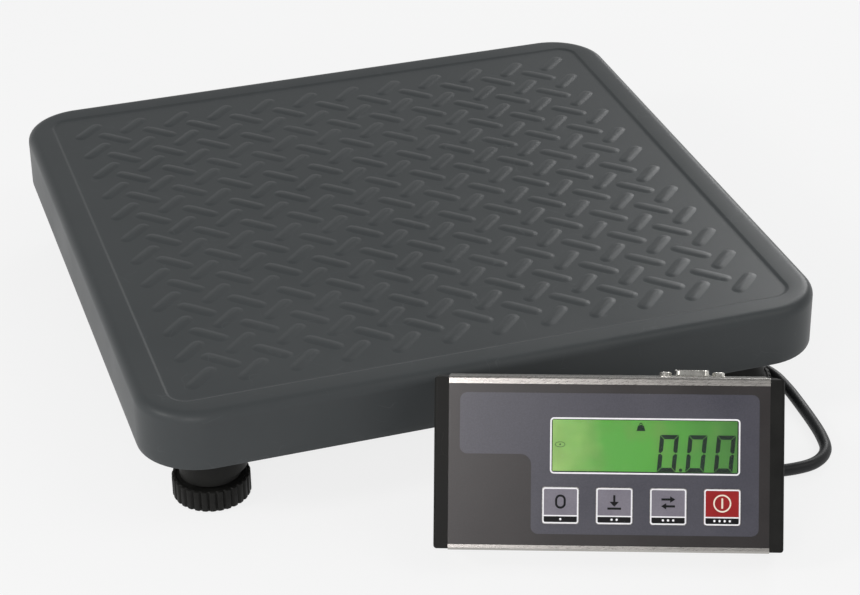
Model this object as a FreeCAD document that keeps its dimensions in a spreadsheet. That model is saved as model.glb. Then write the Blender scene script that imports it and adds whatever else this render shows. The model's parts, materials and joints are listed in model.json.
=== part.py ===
"""Platform shipping scale: a low bench platform on four levelling feet and a separate indicator on a lead.

Frame: the origin is on the floor under the middle of the platform, +X to the right, -Y towards the indicator,
+Z up. Millimetres. The indicator's pieces are drawn in its own frame (x along its face, y into it, z up its
face), which one placement tilts and turns into place.
"""
import FreeCAD, Part
import math
import os
import re

import Sketcher
from FreeCAD import Placement, Rotation, Vector

DIMENSIONS = {
    # platform cover
    "platform_side": 355,
    "platform_top": 69,
    "skirt_depth": 31,
    "platform_corner": 32,
    "top_round": 5,
    "cover_sheet": 2,
    "field_half": 162,
    "field_corner": 10,
    "field_recess": 0.7,
    "tread_pitch": 26,
    "tread_length": 20,
    "tread_width": 5,
    "tread_rise": 1.1,
    "tread_rows": 12,
    # rails and crossbars of the two frames
    "base_rail_x": 141,
    "base_rail_width": 28,
    "base_rail_bottom": 26,
    "base_rail_height": 18,
    "deck_rail_x": 135,
    "deck_rail_width": 25,
    "deck_rail_bottom": 47,
    "deck_top": 64.5,
    "rail_half_length": 155,
    "rail_wall": 2,
    "crossbar_half": 32,
    "crossbar_bottom": 27,
    "crossbar_top": 33,
    "deck_bar_half": 21,
    "deck_bar_flange": 3,
    "deck_bar_sheet": 3.5,
    # load cell
    "cell_half_length": 65,
    "cell_half_width": 15,
    "cell_bottom": 36,
    "cell_top": 58,
    "cell_seat": 40,
    "cell_window_x": 13,
    "cell_window_radius": 7,
    "cell_screw_radius": 3,
    "screw_gap": 0.05,
    # feet
    "foot_offset": 141,
    "boss_radius": 15.7,
    "boss_bottom": 13.5,
    "collar_radius": 17.5,
    "collar_offset": 1.7,
    "collar_bottom": 17,
    "wheel_radius": 19.6,
    "wheel_bottom": 1,
    "wheel_top": 12.4,
    "flute_radius": 1.5,
    "flute_count": 30,
    "foot_pad_radius": 17,
    "stud_radius": 5,
    "stud_low": 4,
    "stud_high": 38,
    # deck details
    "buffer_radius": 10,
    "buffer_y": 132,
    "locator_y": 95,
    "locator_radius": 4,
    "locator_low": 56,
    "stop_y": 110,
    "stop_top": 45.9,
    "stop_head": 5,
    # lead and its glands
    "lead_radius": 3.1,
    "gland_x": -100,
    "gland_z": 42,
    "gland_radius": 7,
    "coil_x": -45,
    "coil_y": -66,
    "coil_mid_radius": 31,
    "coil_bottom": 1,
    "coil_width": 25.2,
    "coil_height": 12.6,
    # indicator in its own frame
    "unit_x": -58.1,
    "unit_y": -243,
    "unit_yaw": -20.13,
    "unit_tilt": -30,
    "unit_length": 164,
    "unit_depth": 30,
    "unit_height": 82,
    "cap_width": 6.8,
    "cap_inset": 0.6,
    "cap_recess": 2,
    "shell_wall": 2,
    "panel_low": 2.7,
    "panel_high": 78.4,
    "panel_front": 0.4,
    "panel_back": 1.2,
    "front_wall_back": 3.2,
    "window_left": 55.1,
    "window_right": 142.7,
    "window_low": 37,
    "window_high": 62.2,
    "key_first": 51.1,
    "key_pitch": 25.2,
    "key_side": 16.9,
    "key_low": 13,
    "key_gap": 0.3,
    "key_corner": 1.3,
    "serial_x": 121.5,
    "serial_y": 15,
    "serial_rise": 3.1,
    "jackscrew_pitch": 25,
    "prop_x": 82,
    "prop_y": 35,
    "prop_z": 45,
    "prop_half": 17.5,
    "prop_open": 60,
    "prop_pin_radius": 1.5,
    "unit_gland_x": 138,
    "unit_gland_z": 22,
    "jack_x": 26,
    "jack_z": 18,
    "insert_pitch": 75,
    "insert_z": 64,
    "prop_length": 41.68,
    "board_left": 12,
    "board_right": 153.9,
    "board_low": 9,
    "board_high": 71,
    "board_front": 14,
    "board_thickness": 1.6,
}
document = FreeCAD.newDocument("shipping_scale")
pieces = []


def make_sheet():
    """The driving dimensions, one per row: name in column A, number with its alias in column B."""
    sheet = document.addObject("Spreadsheet::Sheet", "Dims")
    for row, (alias, number) in enumerate(DIMENSIONS.items(), start=1):
        sheet.set(f"A{row}", alias)
        sheet.set(f"B{row}", str(number))
        sheet.setAlias(f"B{row}", alias)
    document.recompute()
    return sheet


dims = make_sheet()


def bind(thing, path, text):
    """Bind one property to a formula whose words are aliases of the sheet."""
    thing.setExpression(path, re.sub(r"\b([a-z]+_[a-z_]+)\b", r"Dims.\1", str(text)))


def unit_placement():
    """Where the indicator stands: turned, leaned back, with its lower back edge on the floor."""
    turned = Rotation(Vector(0, 0, 1), dims.unit_yaw) * Rotation(Vector(1, 0, 0), dims.unit_tilt)
    lift = dims.unit_depth * math.sin(math.radians(-dims.unit_tilt))
    return Placement(Vector(dims.unit_x, dims.unit_y, lift), turned)


UNIT = unit_placement()


def keep(label, thing, place=Placement()):
    """Name a finished piece and put it in its place."""
    thing.Label = label
    thing.Placement = place
    pieces.append(thing)
    return thing


# ---- sketches and features -------------------------------------------------------------------------------
PLANES = {"x": ("YZ_Plane", 1), "y": ("XZ_Plane", -1), "z": ("XY_Plane", 1)}


def rectangle(left, right, low, high):
    """A drawer of one rectangle, whose four sides are formulas."""

    def draw(sketch):
        corners = [Vector(-1, -1, 0), Vector(1, -1, 0), Vector(1, 1, 0), Vector(-1, 1, 0)]
        first = sketch.GeometryCount
        for number in range(4):
            sketch.addGeometry(Part.LineSegment(corners[number], corners[(number + 1) % 4]), False)
        for number in range(4):
            sketch.addConstraint(
                Sketcher.Constraint("Coincident", first + number, 2, first + (number + 1) % 4, 1)
            )
        for side in (0, 2):
            sketch.addConstraint(Sketcher.Constraint("Horizontal", first + side))
            sketch.addConstraint(Sketcher.Constraint("Vertical", first + side + 1))
        for line, way, text, start in (
            (first, "DistanceX", left, -1),
            (first, "DistanceY", low, -1),
            (first + 2, "DistanceX", right, 1),
            (first + 2, "DistanceY", high, 1),
        ):
            number = sketch.addConstraint(Sketcher.Constraint(way, -1, 1, line, 1, start))
            bind(sketch, f"Constraints[{number}]", text)

    return draw


def circle(across, up, radius):
    """A drawer of one circle, whose centre and radius are formulas."""

    def draw(sketch):
        index = sketch.addGeometry(Part.Circle(Vector(1, 1, 0), Vector(0, 0, 1), 1), False)
        for way, text in (("DistanceX", across), ("DistanceY", up)):
            number = sketch.addConstraint(Sketcher.Constraint(way, -1, 1, index, 3, 1))
            bind(sketch, f"Constraints[{number}]", text)
        number = sketch.addConstraint(Sketcher.Constraint("Radius", index, 1))
        bind(sketch, f"Constraints[{number}]", radius)

    return draw


def polygon(*points):
    """A drawer of one closed outline through points, each a pair of formulas."""

    def draw(sketch):
        first, count = sketch.GeometryCount, len(points)
        turn = 2 * math.pi / count
        start = [Vector(math.cos(turn * n), math.sin(turn * n), 0) for n in range(count)]
        for number in range(count):
            sketch.addGeometry(Part.LineSegment(start[number], start[(number + 1) % count]), False)
        for number in range(count):
            sketch.addConstraint(
                Sketcher.Constraint("Coincident", first + number, 2, first + (number + 1) % count, 1)
            )
        for number, point in enumerate(points):
            for way, text, value in zip(("DistanceX", "DistanceY"), point, start[number]):
                index = sketch.addConstraint(
                    Sketcher.Constraint(way, -1, 1, first + number, 1, value)
                )
                bind(sketch, f"Constraints[{index}]", text)

    return draw


def sketch_on(body, axis, offset, drawers):
    """A sketch across one axis of its body, at a formula's distance along it."""
    role, sign = PLANES[axis]
    sketch = body.newObject("Sketcher::SketchObject", "Sketch")
    plane = next(item for item in body.Origin.OriginFeatures if item.Role == role)
    sketch.AttachmentSupport = (plane, [""])
    sketch.MapMode = "FlatFace"
    bind(sketch, "AttachmentOffset.Base.z", offset if sign > 0 else f"-({offset})")
    for draw in drawers:
        draw(sketch)
    return sketch


def add(body, axis, low, high, *drawers):
    """Pad outlines from low to high along an axis."""
    sketch = sketch_on(body, axis, low if axis != "y" else high, drawers)
    pad = body.newObject("PartDesign::Pad", "Pad")
    pad.Profile = sketch
    bind(pad, "Length", f"({high}) - ({low})")
    document.recompute()
    return pad


def take(body, axis, low, high, *drawers):
    """Pocket outlines out of the body from low to high along an axis."""
    before = body.Shape.Volume
    sketch = sketch_on(body, axis, high if axis != "y" else low, drawers)
    pocket = body.newObject("PartDesign::Pocket", "Pocket")
    pocket.Profile = sketch
    bind(pocket, "Length", f"({high}) - ({low})")
    document.recompute()
    if body.Shape.Volume > before - 1e-3:
        raise RuntimeError(f"a pocket in {body.Label} cuts nothing")
    return pocket


def round_off(body, radius, chosen):
    """Fillet the edges of the body's tip that chosen() accepts."""
    tip = body.Tip
    names = [f"Edge{n}" for n, edge in enumerate(tip.Shape.Edges, start=1) if chosen(edge)]
    if not names:
        raise RuntimeError(f"{body.Label} has no edge to round")
    fillet = body.newObject("PartDesign::Fillet", "Fillet")
    fillet.Base = (tip, names)
    bind(fillet, "Radius", radius)
    document.recompute()
    return fillet


def ends(edge):
    return [vertex.Point for vertex in edge.Vertexes]


def upright_near(half, slack=0.1):
    """Accepts upright edges whose x and y both lie half away from the middle."""

    def chosen(edge):
        points = ends(edge)
        return (
            len(points) == 2
            and abs(points[0].x - points[1].x) + abs(points[0].y - points[1].y) < slack
            and all(abs(abs(side) - half) < slack for side in (points[0].x, points[0].y))
        )

    return chosen


def lying_at(level, reach, slack=0.1):
    """Accepts edges that lie at one height and reach at least so far from the middle."""

    def chosen(edge):
        box = edge.BoundBox
        far = max(abs(box.XMin), abs(box.XMax), abs(box.YMin), abs(box.YMax))
        return abs(box.ZMin - level) < slack and abs(box.ZMax - level) < slack and far > reach

    return chosen


def new_body(label, place=Placement()):
    return keep(label, document.addObject("PartDesign::Body", label), place)


# ---- primitives for pieces that are plain rods and blocks, or groups of them -----------------------------
TURNS = {"x": Rotation(Vector(0, 1, 0), 90), "y": Rotation(Vector(1, 0, 0), -90), "z": Rotation()}


def rod(axis, low, high, across, up, radius, kind="Part::Cylinder", far_radius=None):
    """A cylinder or cone along an axis; across and up are its other two coordinates, in X, Y, Z order."""
    thing = document.addObject(kind, "Rod")
    thing.Placement = Placement(Vector(), TURNS[axis])
    bind(thing, "Radius" if far_radius is None else "Radius1", radius)
    if far_radius is not None:
        bind(thing, "Radius2", far_radius)
    bind(thing, "Height", f"({high}) - ({low})")
    others = [name for name in "xyz" if name != axis]
    for name, text in ((axis, low), (others[0], across), (others[1], up)):
        bind(thing, f"Placement.Base.{name}", text)
    return thing


def block(left, right, front, back, low, high):
    thing = document.addObject("Part::Box", "Block")
    for size, name, start, stop in (
        ("Length", "x", left, right),
        ("Width", "y", front, back),
        ("Height", "z", low, high),
    ):
        bind(thing, size, f"({stop}) - ({start})")
        bind(thing, f"Placement.Base.{name}", start)
    return thing


def joined(*things):
    fuse = document.addObject("Part::MultiFuse", "Joined")
    fuse.Shapes = list(things)
    return fuse


def less(base, *tools):
    cut = document.addObject("Part::Cut", "Less")
    cut.Base = base
    cut.Tool = tools[0] if len(tools) == 1 else joined(*tools)
    return cut


def hexagon(axis, low, high, across, up, radius):
    prism = document.addObject("Part::Prism", "Hexagon")
    prism.Placement = Placement(Vector(), TURNS[axis])
    prism.Polygon = 6
    bind(prism, "Circumradius", radius)
    bind(prism, "Height", f"({high}) - ({low})")
    others = [name for name in "xyz" if name != axis]
    for name, text in ((axis, low), (others[0], across), (others[1], up)):
        bind(prism, f"Placement.Base.{name}", text)
    return prism


def group(label, members, place=Placement()):
    """One node of separate solids, such as a set of like fasteners."""
    compound = document.addObject("Part::Compound", label)
    compound.Links = list(members)
    return keep(label, compound, place)


CORNERS = [(side, end) for side in (-1, 1) for end in (-1, 1)]


# ---- platform --------------------------------------------------------------------------------------------
def tread_bar(body, slope, rows):
    """One diagonal bar at the field's near left, repeated in rows along X and Y."""
    sheet_pitch = "tread_pitch"
    start = f"-({rows} - 1) * {sheet_pitch} / 2"
    along, across = "tread_length / 2 / sqrt(2)", "tread_width / 2 / sqrt(2)"
    points = []
    for forward, side in ((1, 0), (0.75, 1), (-0.75, 1), (-1, 0), (-0.75, -1), (0.75, -1)):
        reach = f"({forward}) * {along}"
        spread = f"({side}) * {across}"
        points.append((f"{start} + {reach} - ({spread})", f"{start} + ({slope}) * ({reach} + {spread})"))
    floor = "platform_top - field_recess"
    bar = add(body, "z", f"{floor} - 0.2", f"{floor} + tread_rise", polygon(*points))
    patterns = []
    grid = body.newObject("PartDesign::MultiTransform", "TreadGrid")
    grid.Originals = [bar]
    for role in ("X_Axis", "Y_Axis"):
        pattern = body.newObject("PartDesign::LinearPattern", "TreadRow")
        axis = next(item for item in body.Origin.OriginFeatures if item.Role == role)
        pattern.Direction = (axis, [""])
        bind(pattern, "Length", f"({rows} - 1) * {sheet_pitch}")
        bind(pattern, "Occurrences", rows)
        patterns.append(pattern)
    grid.Transformations = patterns
    body.Tip = grid
    document.recompute()


def make_cover():
    """The pressed steel cover: a deep pan, upside down, with a recessed field of raised tread bars."""
    body = new_body("platform_cover")
    half = "platform_side / 2"
    skirt = "platform_top - skirt_depth"
    add(body, "z", skirt, "platform_top", rectangle(f"-{half}", half, f"-{half}", half))
    round_off(body, "platform_corner", upright_near(dims.platform_side / 2))
    round_off(body, "top_round", lying_at(dims.platform_top, dims.platform_side / 4))
    solid, skirt_level = body.Tip, dims.platform_top - dims.skirt_depth
    faces = enumerate(solid.Shape.Faces, start=1)
    open_face = next(f"Face{n}" for n, face in faces if face.BoundBox.ZMax < skirt_level + 0.1)
    hollow = body.newObject("PartDesign::Thickness", "Hollow")
    hollow.Base = (solid, [open_face])
    bind(hollow, "Value", "cover_sheet")
    hollow.Reversed = True
    document.recompute()
    field = rectangle("-field_half", "field_half", "-field_half", "field_half")
    take(body, "z", "platform_top - field_recess", "platform_top", field)
    round_off(body, "field_corner", upright_near(dims.field_half))
    tread_bar(body, 1, "tread_rows")
    tread_bar(body, -1, "(tread_rows - 1)")


def make_locators():
    low, high = "locator_low", "platform_top - cover_sheet"
    group(
        "locating_studs",
        [
            rod("z", low, high, f"({side}) * deck_rail_x", f"({end}) * locator_y", "locator_radius")
            for side, end in CORNERS
        ],
    )


def make_buffers():
    group(
        "deck_buffers",
        [
            rod(
                "z", "deck_top", "platform_top - cover_sheet",
                f"({side}) * deck_rail_x", f"({end}) * buffer_y", "buffer_radius",
            )
            for side, end in CORNERS
        ],
    )


def make_rail(label, side, middle, width, low, high):
    """A square-cornered tube that runs from front to back."""
    body = new_body(label)
    centre = f"({side}) * {middle}"
    left, right = f"{centre} - {width} / 2", f"{centre} + {width} / 2"
    wall = "rail_wall"
    add(body, "y", "-rail_half_length", "rail_half_length", rectangle(left, right, low, high))
    hollow = rectangle(f"{left} + {wall}", f"{right} - {wall}", f"{low} + {wall}", f"{high} - {wall}")
    take(body, "y", "-rail_half_length", "rail_half_length", hollow)
    return body, centre


def make_rails():
    high = "base_rail_bottom + base_rail_height"
    for name, side in (("left", -1), ("right", 1)):
        body, x = make_rail(
            f"base_rail_{name}", side, "base_rail_x", "base_rail_width", "base_rail_bottom", high
        )
        holes = [circle(x, f"({end}) * foot_offset", "stud_radius + 0.5") for end in (-1, 1)]
        take(body, "z", "base_rail_bottom", "base_rail_bottom + rail_wall", *holes)
        stops = [circle(x, f"({end}) * stop_y", "cell_screw_radius + screw_gap") for end in (-1, 1)]
        take(body, "z", f"{high} - rail_wall", high, *stops)
        body, x = make_rail(
            f"deck_rail_{name}", side, "deck_rail_x", "deck_rail_width", "deck_rail_bottom", "deck_top"
        )
        holes = [circle(x, f"({end}) * locator_y", "locator_radius + 0.6") for end in (-1, 1)]
        take(body, "z", "deck_top - rail_wall", "deck_top", *holes)


def make_overload_stops():
    """Screws through the base rails that catch the deck rails before the load cell is overbent."""
    top = "base_rail_bottom + base_rail_height"
    members = []
    for side, end in CORNERS:
        x, y = f"({side}) * base_rail_x", f"({end}) * stop_y"
        head = hexagon("z", top, "stop_top", x, y, "stop_head")
        members.append(joined(head, rod("z", f"{top} - 8", top, x, y, "cell_screw_radius")))
    group("overload_stops", members)


def make_base_crossbar():
    body = new_body("base_crossbar")
    reach, half = "base_rail_x - base_rail_width / 2", "crossbar_half"
    add(body, "z", "crossbar_bottom", "crossbar_top", rectangle(f"-({reach})", reach, f"-{half}", half))
    left, right = "gland_x - 12", "gland_x + 12"
    add(body, "y", f"-{half}", f"-{half} + 4", rectangle(left, right, "crossbar_top - 1", "gland_z + 10"))
    take(body, "y", f"-{half}", f"-{half} + 4", circle("gland_x", "gland_z", "6"))
    screws = [circle(x, "0", "cell_screw_radius + 0.3") for x in ("-cell_seat + 8", "-cell_seat - 12")]
    take(body, "z", "crossbar_bottom", "crossbar_top", *screws)


def make_deck_crossbar():
    body = new_body("deck_crossbar")
    reach, half = "deck_rail_x - deck_rail_width / 2", "deck_bar_half"
    under = "deck_top - deck_bar_sheet"
    add(body, "z", "deck_rail_bottom", "deck_top", rectangle(f"-({reach})", reach, f"-{half}", half))
    inner = f"{half} - deck_bar_flange"
    take(body, "z", "deck_rail_bottom", under, rectangle(f"-({reach})", reach, f"-({inner})", inner))
    screws = [circle(x, "0", "cell_screw_radius + 0.3") for x in ("cell_seat - 8", "cell_seat + 12")]
    take(body, "z", under, "deck_top", *screws)


def make_load_cell():
    """A single-point beam cell, with the double-hole window that makes its thin bending sections."""
    body = new_body("load_cell")
    long, half = "cell_half_length", "cell_half_width"
    add(body, "z", "cell_bottom", "cell_top", rectangle(f"-{long}", long, f"-{half}", half))
    middle = "(cell_bottom + cell_top) / 2"
    for side in (-1, 1):
        hole = circle(f"({side}) * cell_window_x", middle, "cell_window_radius")
        take(body, "y", f"-{half}", half, hole)
    slot = rectangle("-cell_window_x", "cell_window_x", f"{middle} - 2", f"{middle} + 2")
    take(body, "y", f"-{half}", half, slot)
    gap = "cell_screw_radius + screw_gap"
    top = [circle(x, "0", gap) for x in ("cell_seat - 8", "cell_seat + 12")]
    take(body, "z", "cell_top - 16", "cell_top", *top)
    bottom = [circle(x, "0", gap) for x in ("-cell_seat + 8", "-cell_seat - 12")]
    take(body, "z", "cell_bottom", "cell_bottom + 16", *bottom)


def make_cell_spacers():
    for label, side, low, high in (
        ("cell_top_spacer", 1, "cell_top", "deck_top - deck_bar_sheet"),
        ("cell_bottom_spacer", -1, "crossbar_top", "cell_bottom"),
    ):
        body = new_body(label)
        near, far = f"({side}) * (cell_seat - 18)", f"({side}) * cell_half_length"
        left, right = (near, far) if side > 0 else (far, near)
        add(body, "z", low, high, rectangle(left, right, "-cell_half_width", "cell_half_width"))
        screws = (f"({side}) * (cell_seat - 8)", f"({side}) * (cell_seat + 12)")
        holes = [circle(x, "0", "cell_screw_radius + 0.3") for x in screws]
        take(body, "z", low, high, *holes)


def make_cell_screws():
    """Socket screws: the upper pair goes down into the free end, the lower pair up into the fixed end."""
    upper, lower = [], []
    for x in ("(cell_seat - 8)", "(cell_seat + 12)"):
        shank = rod("z", "cell_top - 12", "deck_top", x, "0", "cell_screw_radius")
        upper.append(joined(shank, rod("z", "deck_top", "deck_top + 1.6", x, "0", "5")))
        shank = rod("z", "crossbar_bottom", "cell_bottom + 12", f"-{x}", "0", "cell_screw_radius")
        lower.append(joined(shank, rod("z", "crossbar_bottom - 4", "crossbar_bottom", f"-{x}", "0", "5")))
    group("cell_top_screws", upper)
    group("cell_bottom_screws", lower)


def make_level():
    """A bullseye level on the base crossbar, seen once the cover is lifted off."""
    body = new_body("bubble_level")
    place = circle("100", "-crossbar_half + 6", "5")
    add(body, "z", "crossbar_top", "crossbar_top + 7", place)
    round_off(body, "1", lambda edge: abs(edge.BoundBox.ZMin - dims.crossbar_top - 7) < 0.1)


def make_base_gland():
    """The nut, the threaded neck through the tab, the hexagon and the domed cap, round the lead's bore."""
    x, z = "gland_x", "gland_z"
    front = "-crossbar_half"
    solid = joined(
        hexagon("y", f"{front} + 4", f"{front} + 8", x, z, "gland_radius + 0.6"),
        rod("y", front, f"{front} + 8", x, z, "5.9"),
        hexagon("y", f"{front} - 5", front, x, z, "gland_radius + 1"),
        rod("y", f"{front} - 16", f"{front} - 5", x, z, "5", "Part::Cone", "gland_radius"),
    )
    bore = rod("y", f"{front} - 17", f"{front} + 9", x, z, "lead_radius + 0.02")
    group("base_gland", [less(solid, bore)])


def make_foot_bosses():
    """Moulded bosses under the rails, each with a collar set a little towards the middle."""
    members = []
    for side, end in CORNERS:
        x, y = f"({side}) * foot_offset", f"({end}) * foot_offset"
        boss = rod("z", "boss_bottom", "base_rail_bottom", x, y, "boss_radius")
        inner_x, inner_y = (f"({sign}) * (foot_offset - collar_offset)" for sign in (side, end))
        collar = rod("z", "collar_bottom", "base_rail_bottom", inner_x, inner_y, "collar_radius")
        bore = rod("z", "boss_bottom - 1", "base_rail_bottom + 1", x, y, "stud_radius + screw_gap")
        members.append(less(joined(boss, collar), bore))
    group("foot_bosses", members)


def make_feet():
    """Each foot: a rubber pad, a fluted wheel moulded on a steel stud that screws into the boss."""
    for end_name, end in (("front", -1), ("back", 1)):
        for side_name, side in (("left", -1), ("right", 1)):
            place = Placement(Vector(side * dims.foot_offset, end * dims.foot_offset, 0), Rotation())
            name = f"{end_name}_{side_name}"
            pad = new_body(f"foot_pad_{name}", place)
            add(pad, "z", "0", "wheel_bottom", circle("0", "0", "foot_pad_radius"))
            wheel = new_body(f"foot_wheel_{name}", place)
            add(wheel, "z", "wheel_bottom", "wheel_top", circle("0", "0", "wheel_radius"))
            rims = (dims.wheel_bottom, dims.wheel_top)
            round_off(wheel, "0.8", lambda edge: min(abs(edge.BoundBox.ZMin - rim) for rim in rims) < 0.1)
            flute = take(
                wheel, "z", "wheel_bottom", "wheel_top", circle("wheel_radius + 0.6", "0", "flute_radius")
            )
            ring = wheel.newObject("PartDesign::PolarPattern", "Flutes")
            ring.Originals = [flute]
            axis = next(item for item in wheel.Origin.OriginFeatures if item.Role == "Z_Axis")
            ring.Axis = (axis, [""])
            ring.Angle = 360
            bind(ring, "Occurrences", "flute_count")
            wheel.Tip = ring
            document.recompute()
            take(wheel, "z", "stud_low", "wheel_top", circle("0", "0", "stud_radius"))
            stud = new_body(f"foot_stud_{name}", place)
            add(stud, "z", "stud_low", "stud_high", circle("0", "0", "stud_radius"))


# ---- indicator -------------------------------------------------------------------------------------------
PORTS = [(depth, height) for depth in ("6.2", "unit_depth - 5") for height in ("5", "unit_height - 5")]


def key_left(number):
    return f"key_first + {number} * key_pitch"


def make_housing():
    """An aluminium extrusion: two front rails proud of a recessed front wall, and four screw ports inside."""
    body = new_body("housing_shell", UNIT)
    start, stop = "cap_width", "unit_length - cap_width"
    add(body, "x", start, stop, rectangle("0", "unit_depth", "0", "unit_height"))
    round_off(
        body, "1.2",
        lambda edge: edge.BoundBox.XLength > 100
        and min(edge.BoundBox.YMin, dims.unit_depth - edge.BoundBox.YMax) < 0.1,
    )
    take(body, "x", start, stop, rectangle("-1", "panel_back", "panel_low", "panel_high"))
    groove = "unit_height - 2.4"
    take(body, "x", start, stop, rectangle("-1", "0.7", groove, f"{groove} + 0.7"))
    wall = "shell_wall"
    inside = rectangle("front_wall_back", f"unit_depth - {wall}", wall, f"unit_height - {wall}")
    take(body, "x", start, stop, inside)
    for across, up in PORTS:
        add(body, "x", start, stop, circle(across, up, "3.2"))
    take(body, "x", start, stop, *[circle(across, up, "1.4") for across, up in PORTS])
    window = rectangle("window_left", "window_right", "window_low", "window_high")
    stems = [circle(f"{key_left(n)} + key_side / 2", "key_low + key_side / 2", "4.5") for n in range(4)]
    take(body, "y", "0", "front_wall_back", window, *stems)
    back = [
        circle("unit_gland_x", "unit_gland_z", "5.5"),
        circle("jack_x", "jack_z", "4.5"),
        circle("prop_x - insert_pitch / 2", "insert_z", "3"),
        circle("prop_x + insert_pitch / 2", "insert_z", "3"),
    ]
    take(body, "y", f"unit_depth - {wall}", "unit_depth", *back)
    socket = rectangle("serial_x - 9", "serial_x + 9", "serial_y - 5", "serial_y + 5")
    screws = [circle(f"serial_x + ({s}) * jackscrew_pitch / 2", "serial_y", "1.5") for s in (-1, 1)]
    take(body, "z", f"unit_height - {wall}", "unit_height", socket, *screws)


def make_end_caps():
    inset = "cap_inset"
    right = "unit_length - cap_width"
    for label, start, stop, tongue, outer_face in (
        ("end_cap_left", "0", "cap_width", ("cap_width", "cap_width + 3"), 0),
        ("end_cap_right", right, "unit_length", (f"{right} - 3", right), dims.unit_length),
    ):
        body = new_body(label, UNIT)
        face = rectangle("0.3", f"unit_depth - {inset}", inset, f"unit_height - {inset}")
        add(body, "x", start, stop, face)
        round_off(body, "1.6", lambda edge: abs(edge.CenterOfMass.x - outer_face) < 0.1)
        add(body, "x", *tongue, rectangle("12", "18", "2.2", "unit_height - 2.2"))
        take(body, "x", start, stop, *[circle(y, z, "1.7") for y, z in PORTS])
        recess = ("0", "cap_recess") if outer_face == 0 else ("unit_length - cap_recess", "unit_length")
        take(body, "x", *recess, *[circle(y, z, "3.1") for y, z in PORTS])


def make_end_cap_screws():
    """Pan-head screws, sunk in the caps, into the shell's four screw ports."""
    members = []
    seat = "cap_recess"
    for y, z in PORTS:
        left = rod("x", f"{seat} - 1.4", seat, y, z, "2.8")
        members.append(joined(left, rod("x", seat, "cap_width + 8", y, z, "1.38")))
        right = rod("x", f"unit_length - {seat}", f"unit_length - {seat} + 1.4", y, z, "2.8")
        shank = rod("x", "unit_length - cap_width - 8", f"unit_length - {seat}", y, z, "1.38")
        members.append(joined(right, shank))
    group("end_cap_screws", members, UNIT)


def make_front_panel():
    body = new_body("front_panel", UNIT)
    outline = rectangle("cap_width", "unit_length - cap_width", "panel_low", "panel_high")
    add(body, "y", "panel_front", "panel_back", outline)
    window = rectangle("window_left", "window_right", "window_low", "window_high")
    holes = [
        rectangle(
            f"{key_left(n)} - key_gap", f"{key_left(n)} + key_side + key_gap",
            "key_low - key_gap", "key_low + key_side + key_gap",
        )
        for n in range(4)
    ]
    take(body, "y", "panel_front", "panel_back", window, *holes)


def make_display():
    edges = ("window_left", "window_right", "window_low", "window_high")
    lens = new_body("display_lens", UNIT)
    add(lens, "y", "panel_front", "front_wall_back - 0.2", rectangle(*edges))
    outer = ("window_left - 3", "window_right + 3", "window_low - 3", "window_high + 3")
    glass = new_body("lcd_panel", UNIT)
    add(glass, "y", "front_wall_back", "front_wall_back + 2.8", rectangle(*outer))
    light = new_body("backlight_panel", UNIT)
    add(light, "y", "front_wall_back + 2.8", "front_wall_back + 6", rectangle(*outer))


def make_keys():
    for number, name in enumerate(("zero", "tare", "unit", "power")):
        body = new_body(f"key_{name}", UNIT)
        left = key_left(number)
        face = rectangle(left, f"{left} + key_side", "key_low", "key_low + key_side")
        add(body, "y", "0.1", "panel_back - 0.5", face)
        round_off(body, "key_corner", lambda edge: edge.BoundBox.YLength > 0.4)
        stem = circle(f"{left} + key_side / 2", "key_low + key_side / 2", "4")
        add(body, "y", "panel_back - 0.5", "front_wall_back + 0.2", stem)


def make_dome_sheet():
    body = new_body("dome_sheet", UNIT)
    left, right = "key_first - 3", "key_first + 3 * key_pitch + key_side + 3"
    add(body, "y", "front_wall_back + 0.8", "front_wall_back + 2.4", rectangle(left, right, "10.5", "33"))


def make_board():
    front, back = "board_front", "board_front + board_thickness"
    board = new_body("main_board", UNIT)
    add(board, "y", front, back, rectangle("board_left", "board_right", "board_low", "board_high"))
    spots = [
        (x, z)
        for x in ("board_left + 8", "board_right - 2.9")
        for z in ("board_low + 4", "board_high - 4")
    ]
    take(board, "y", front, back, *[circle(x, z, "1.6") for x, z in spots])
    group("board_standoffs", [rod("y", "front_wall_back", front, x, z, "2.8") for x, z in spots], UNIT)


def d_outline(half_top, half_low, half_high):
    """A D-shaped outline about the serial socket's middle, wider at the back."""
    x, y = "serial_x", "serial_y"
    return polygon(
        (f"{x} - {half_low}", f"{y} - {half_high}"),
        (f"{x} + {half_low}", f"{y} - {half_high}"),
        (f"{x} + {half_top}", f"{y} + {half_high}"),
        (f"{x} - {half_top}", f"{y} + {half_high}"),
    )


def make_serial_socket():
    """A nine-way socket that points up out of the top wall, with its two jackscrews."""
    top = "unit_height"
    shell = new_body("serial_shell", UNIT)
    plate = rectangle("serial_x - 15.4", "serial_x + 15.4", "serial_y - 6.2", "serial_y + 6.2")
    add(shell, "z", top, f"{top} + 0.5", plate)
    add(shell, "z", f"{top} + 0.5", f"{top} + serial_rise", d_outline("8.5", "7.4", "4.2"))
    take(shell, "z", top, f"{top} + serial_rise", d_outline("8", "6.9", "3.7"))
    screws = [circle(f"serial_x + ({s}) * jackscrew_pitch / 2", "serial_y", "1.5") for s in (-1, 1)]
    take(shell, "z", top, f"{top} + 0.5", *screws)
    insert = new_body("serial_insert", UNIT)
    add(insert, "z", f"{top} - 9", f"{top} + serial_rise - 0.4", d_outline("8", "6.9", "3.7"))
    members = []
    for side in (-1, 1):
        x = f"serial_x + ({side}) * jackscrew_pitch / 2"
        head = hexagon("z", f"{top} + 0.5", f"{top} + 2.2", x, "serial_y", "2.9")
        members.append(joined(head, rod("z", f"{top} - 5", f"{top} + 0.5", x, "serial_y", "1.45")))
    group("serial_jackscrews", members, UNIT)


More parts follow.
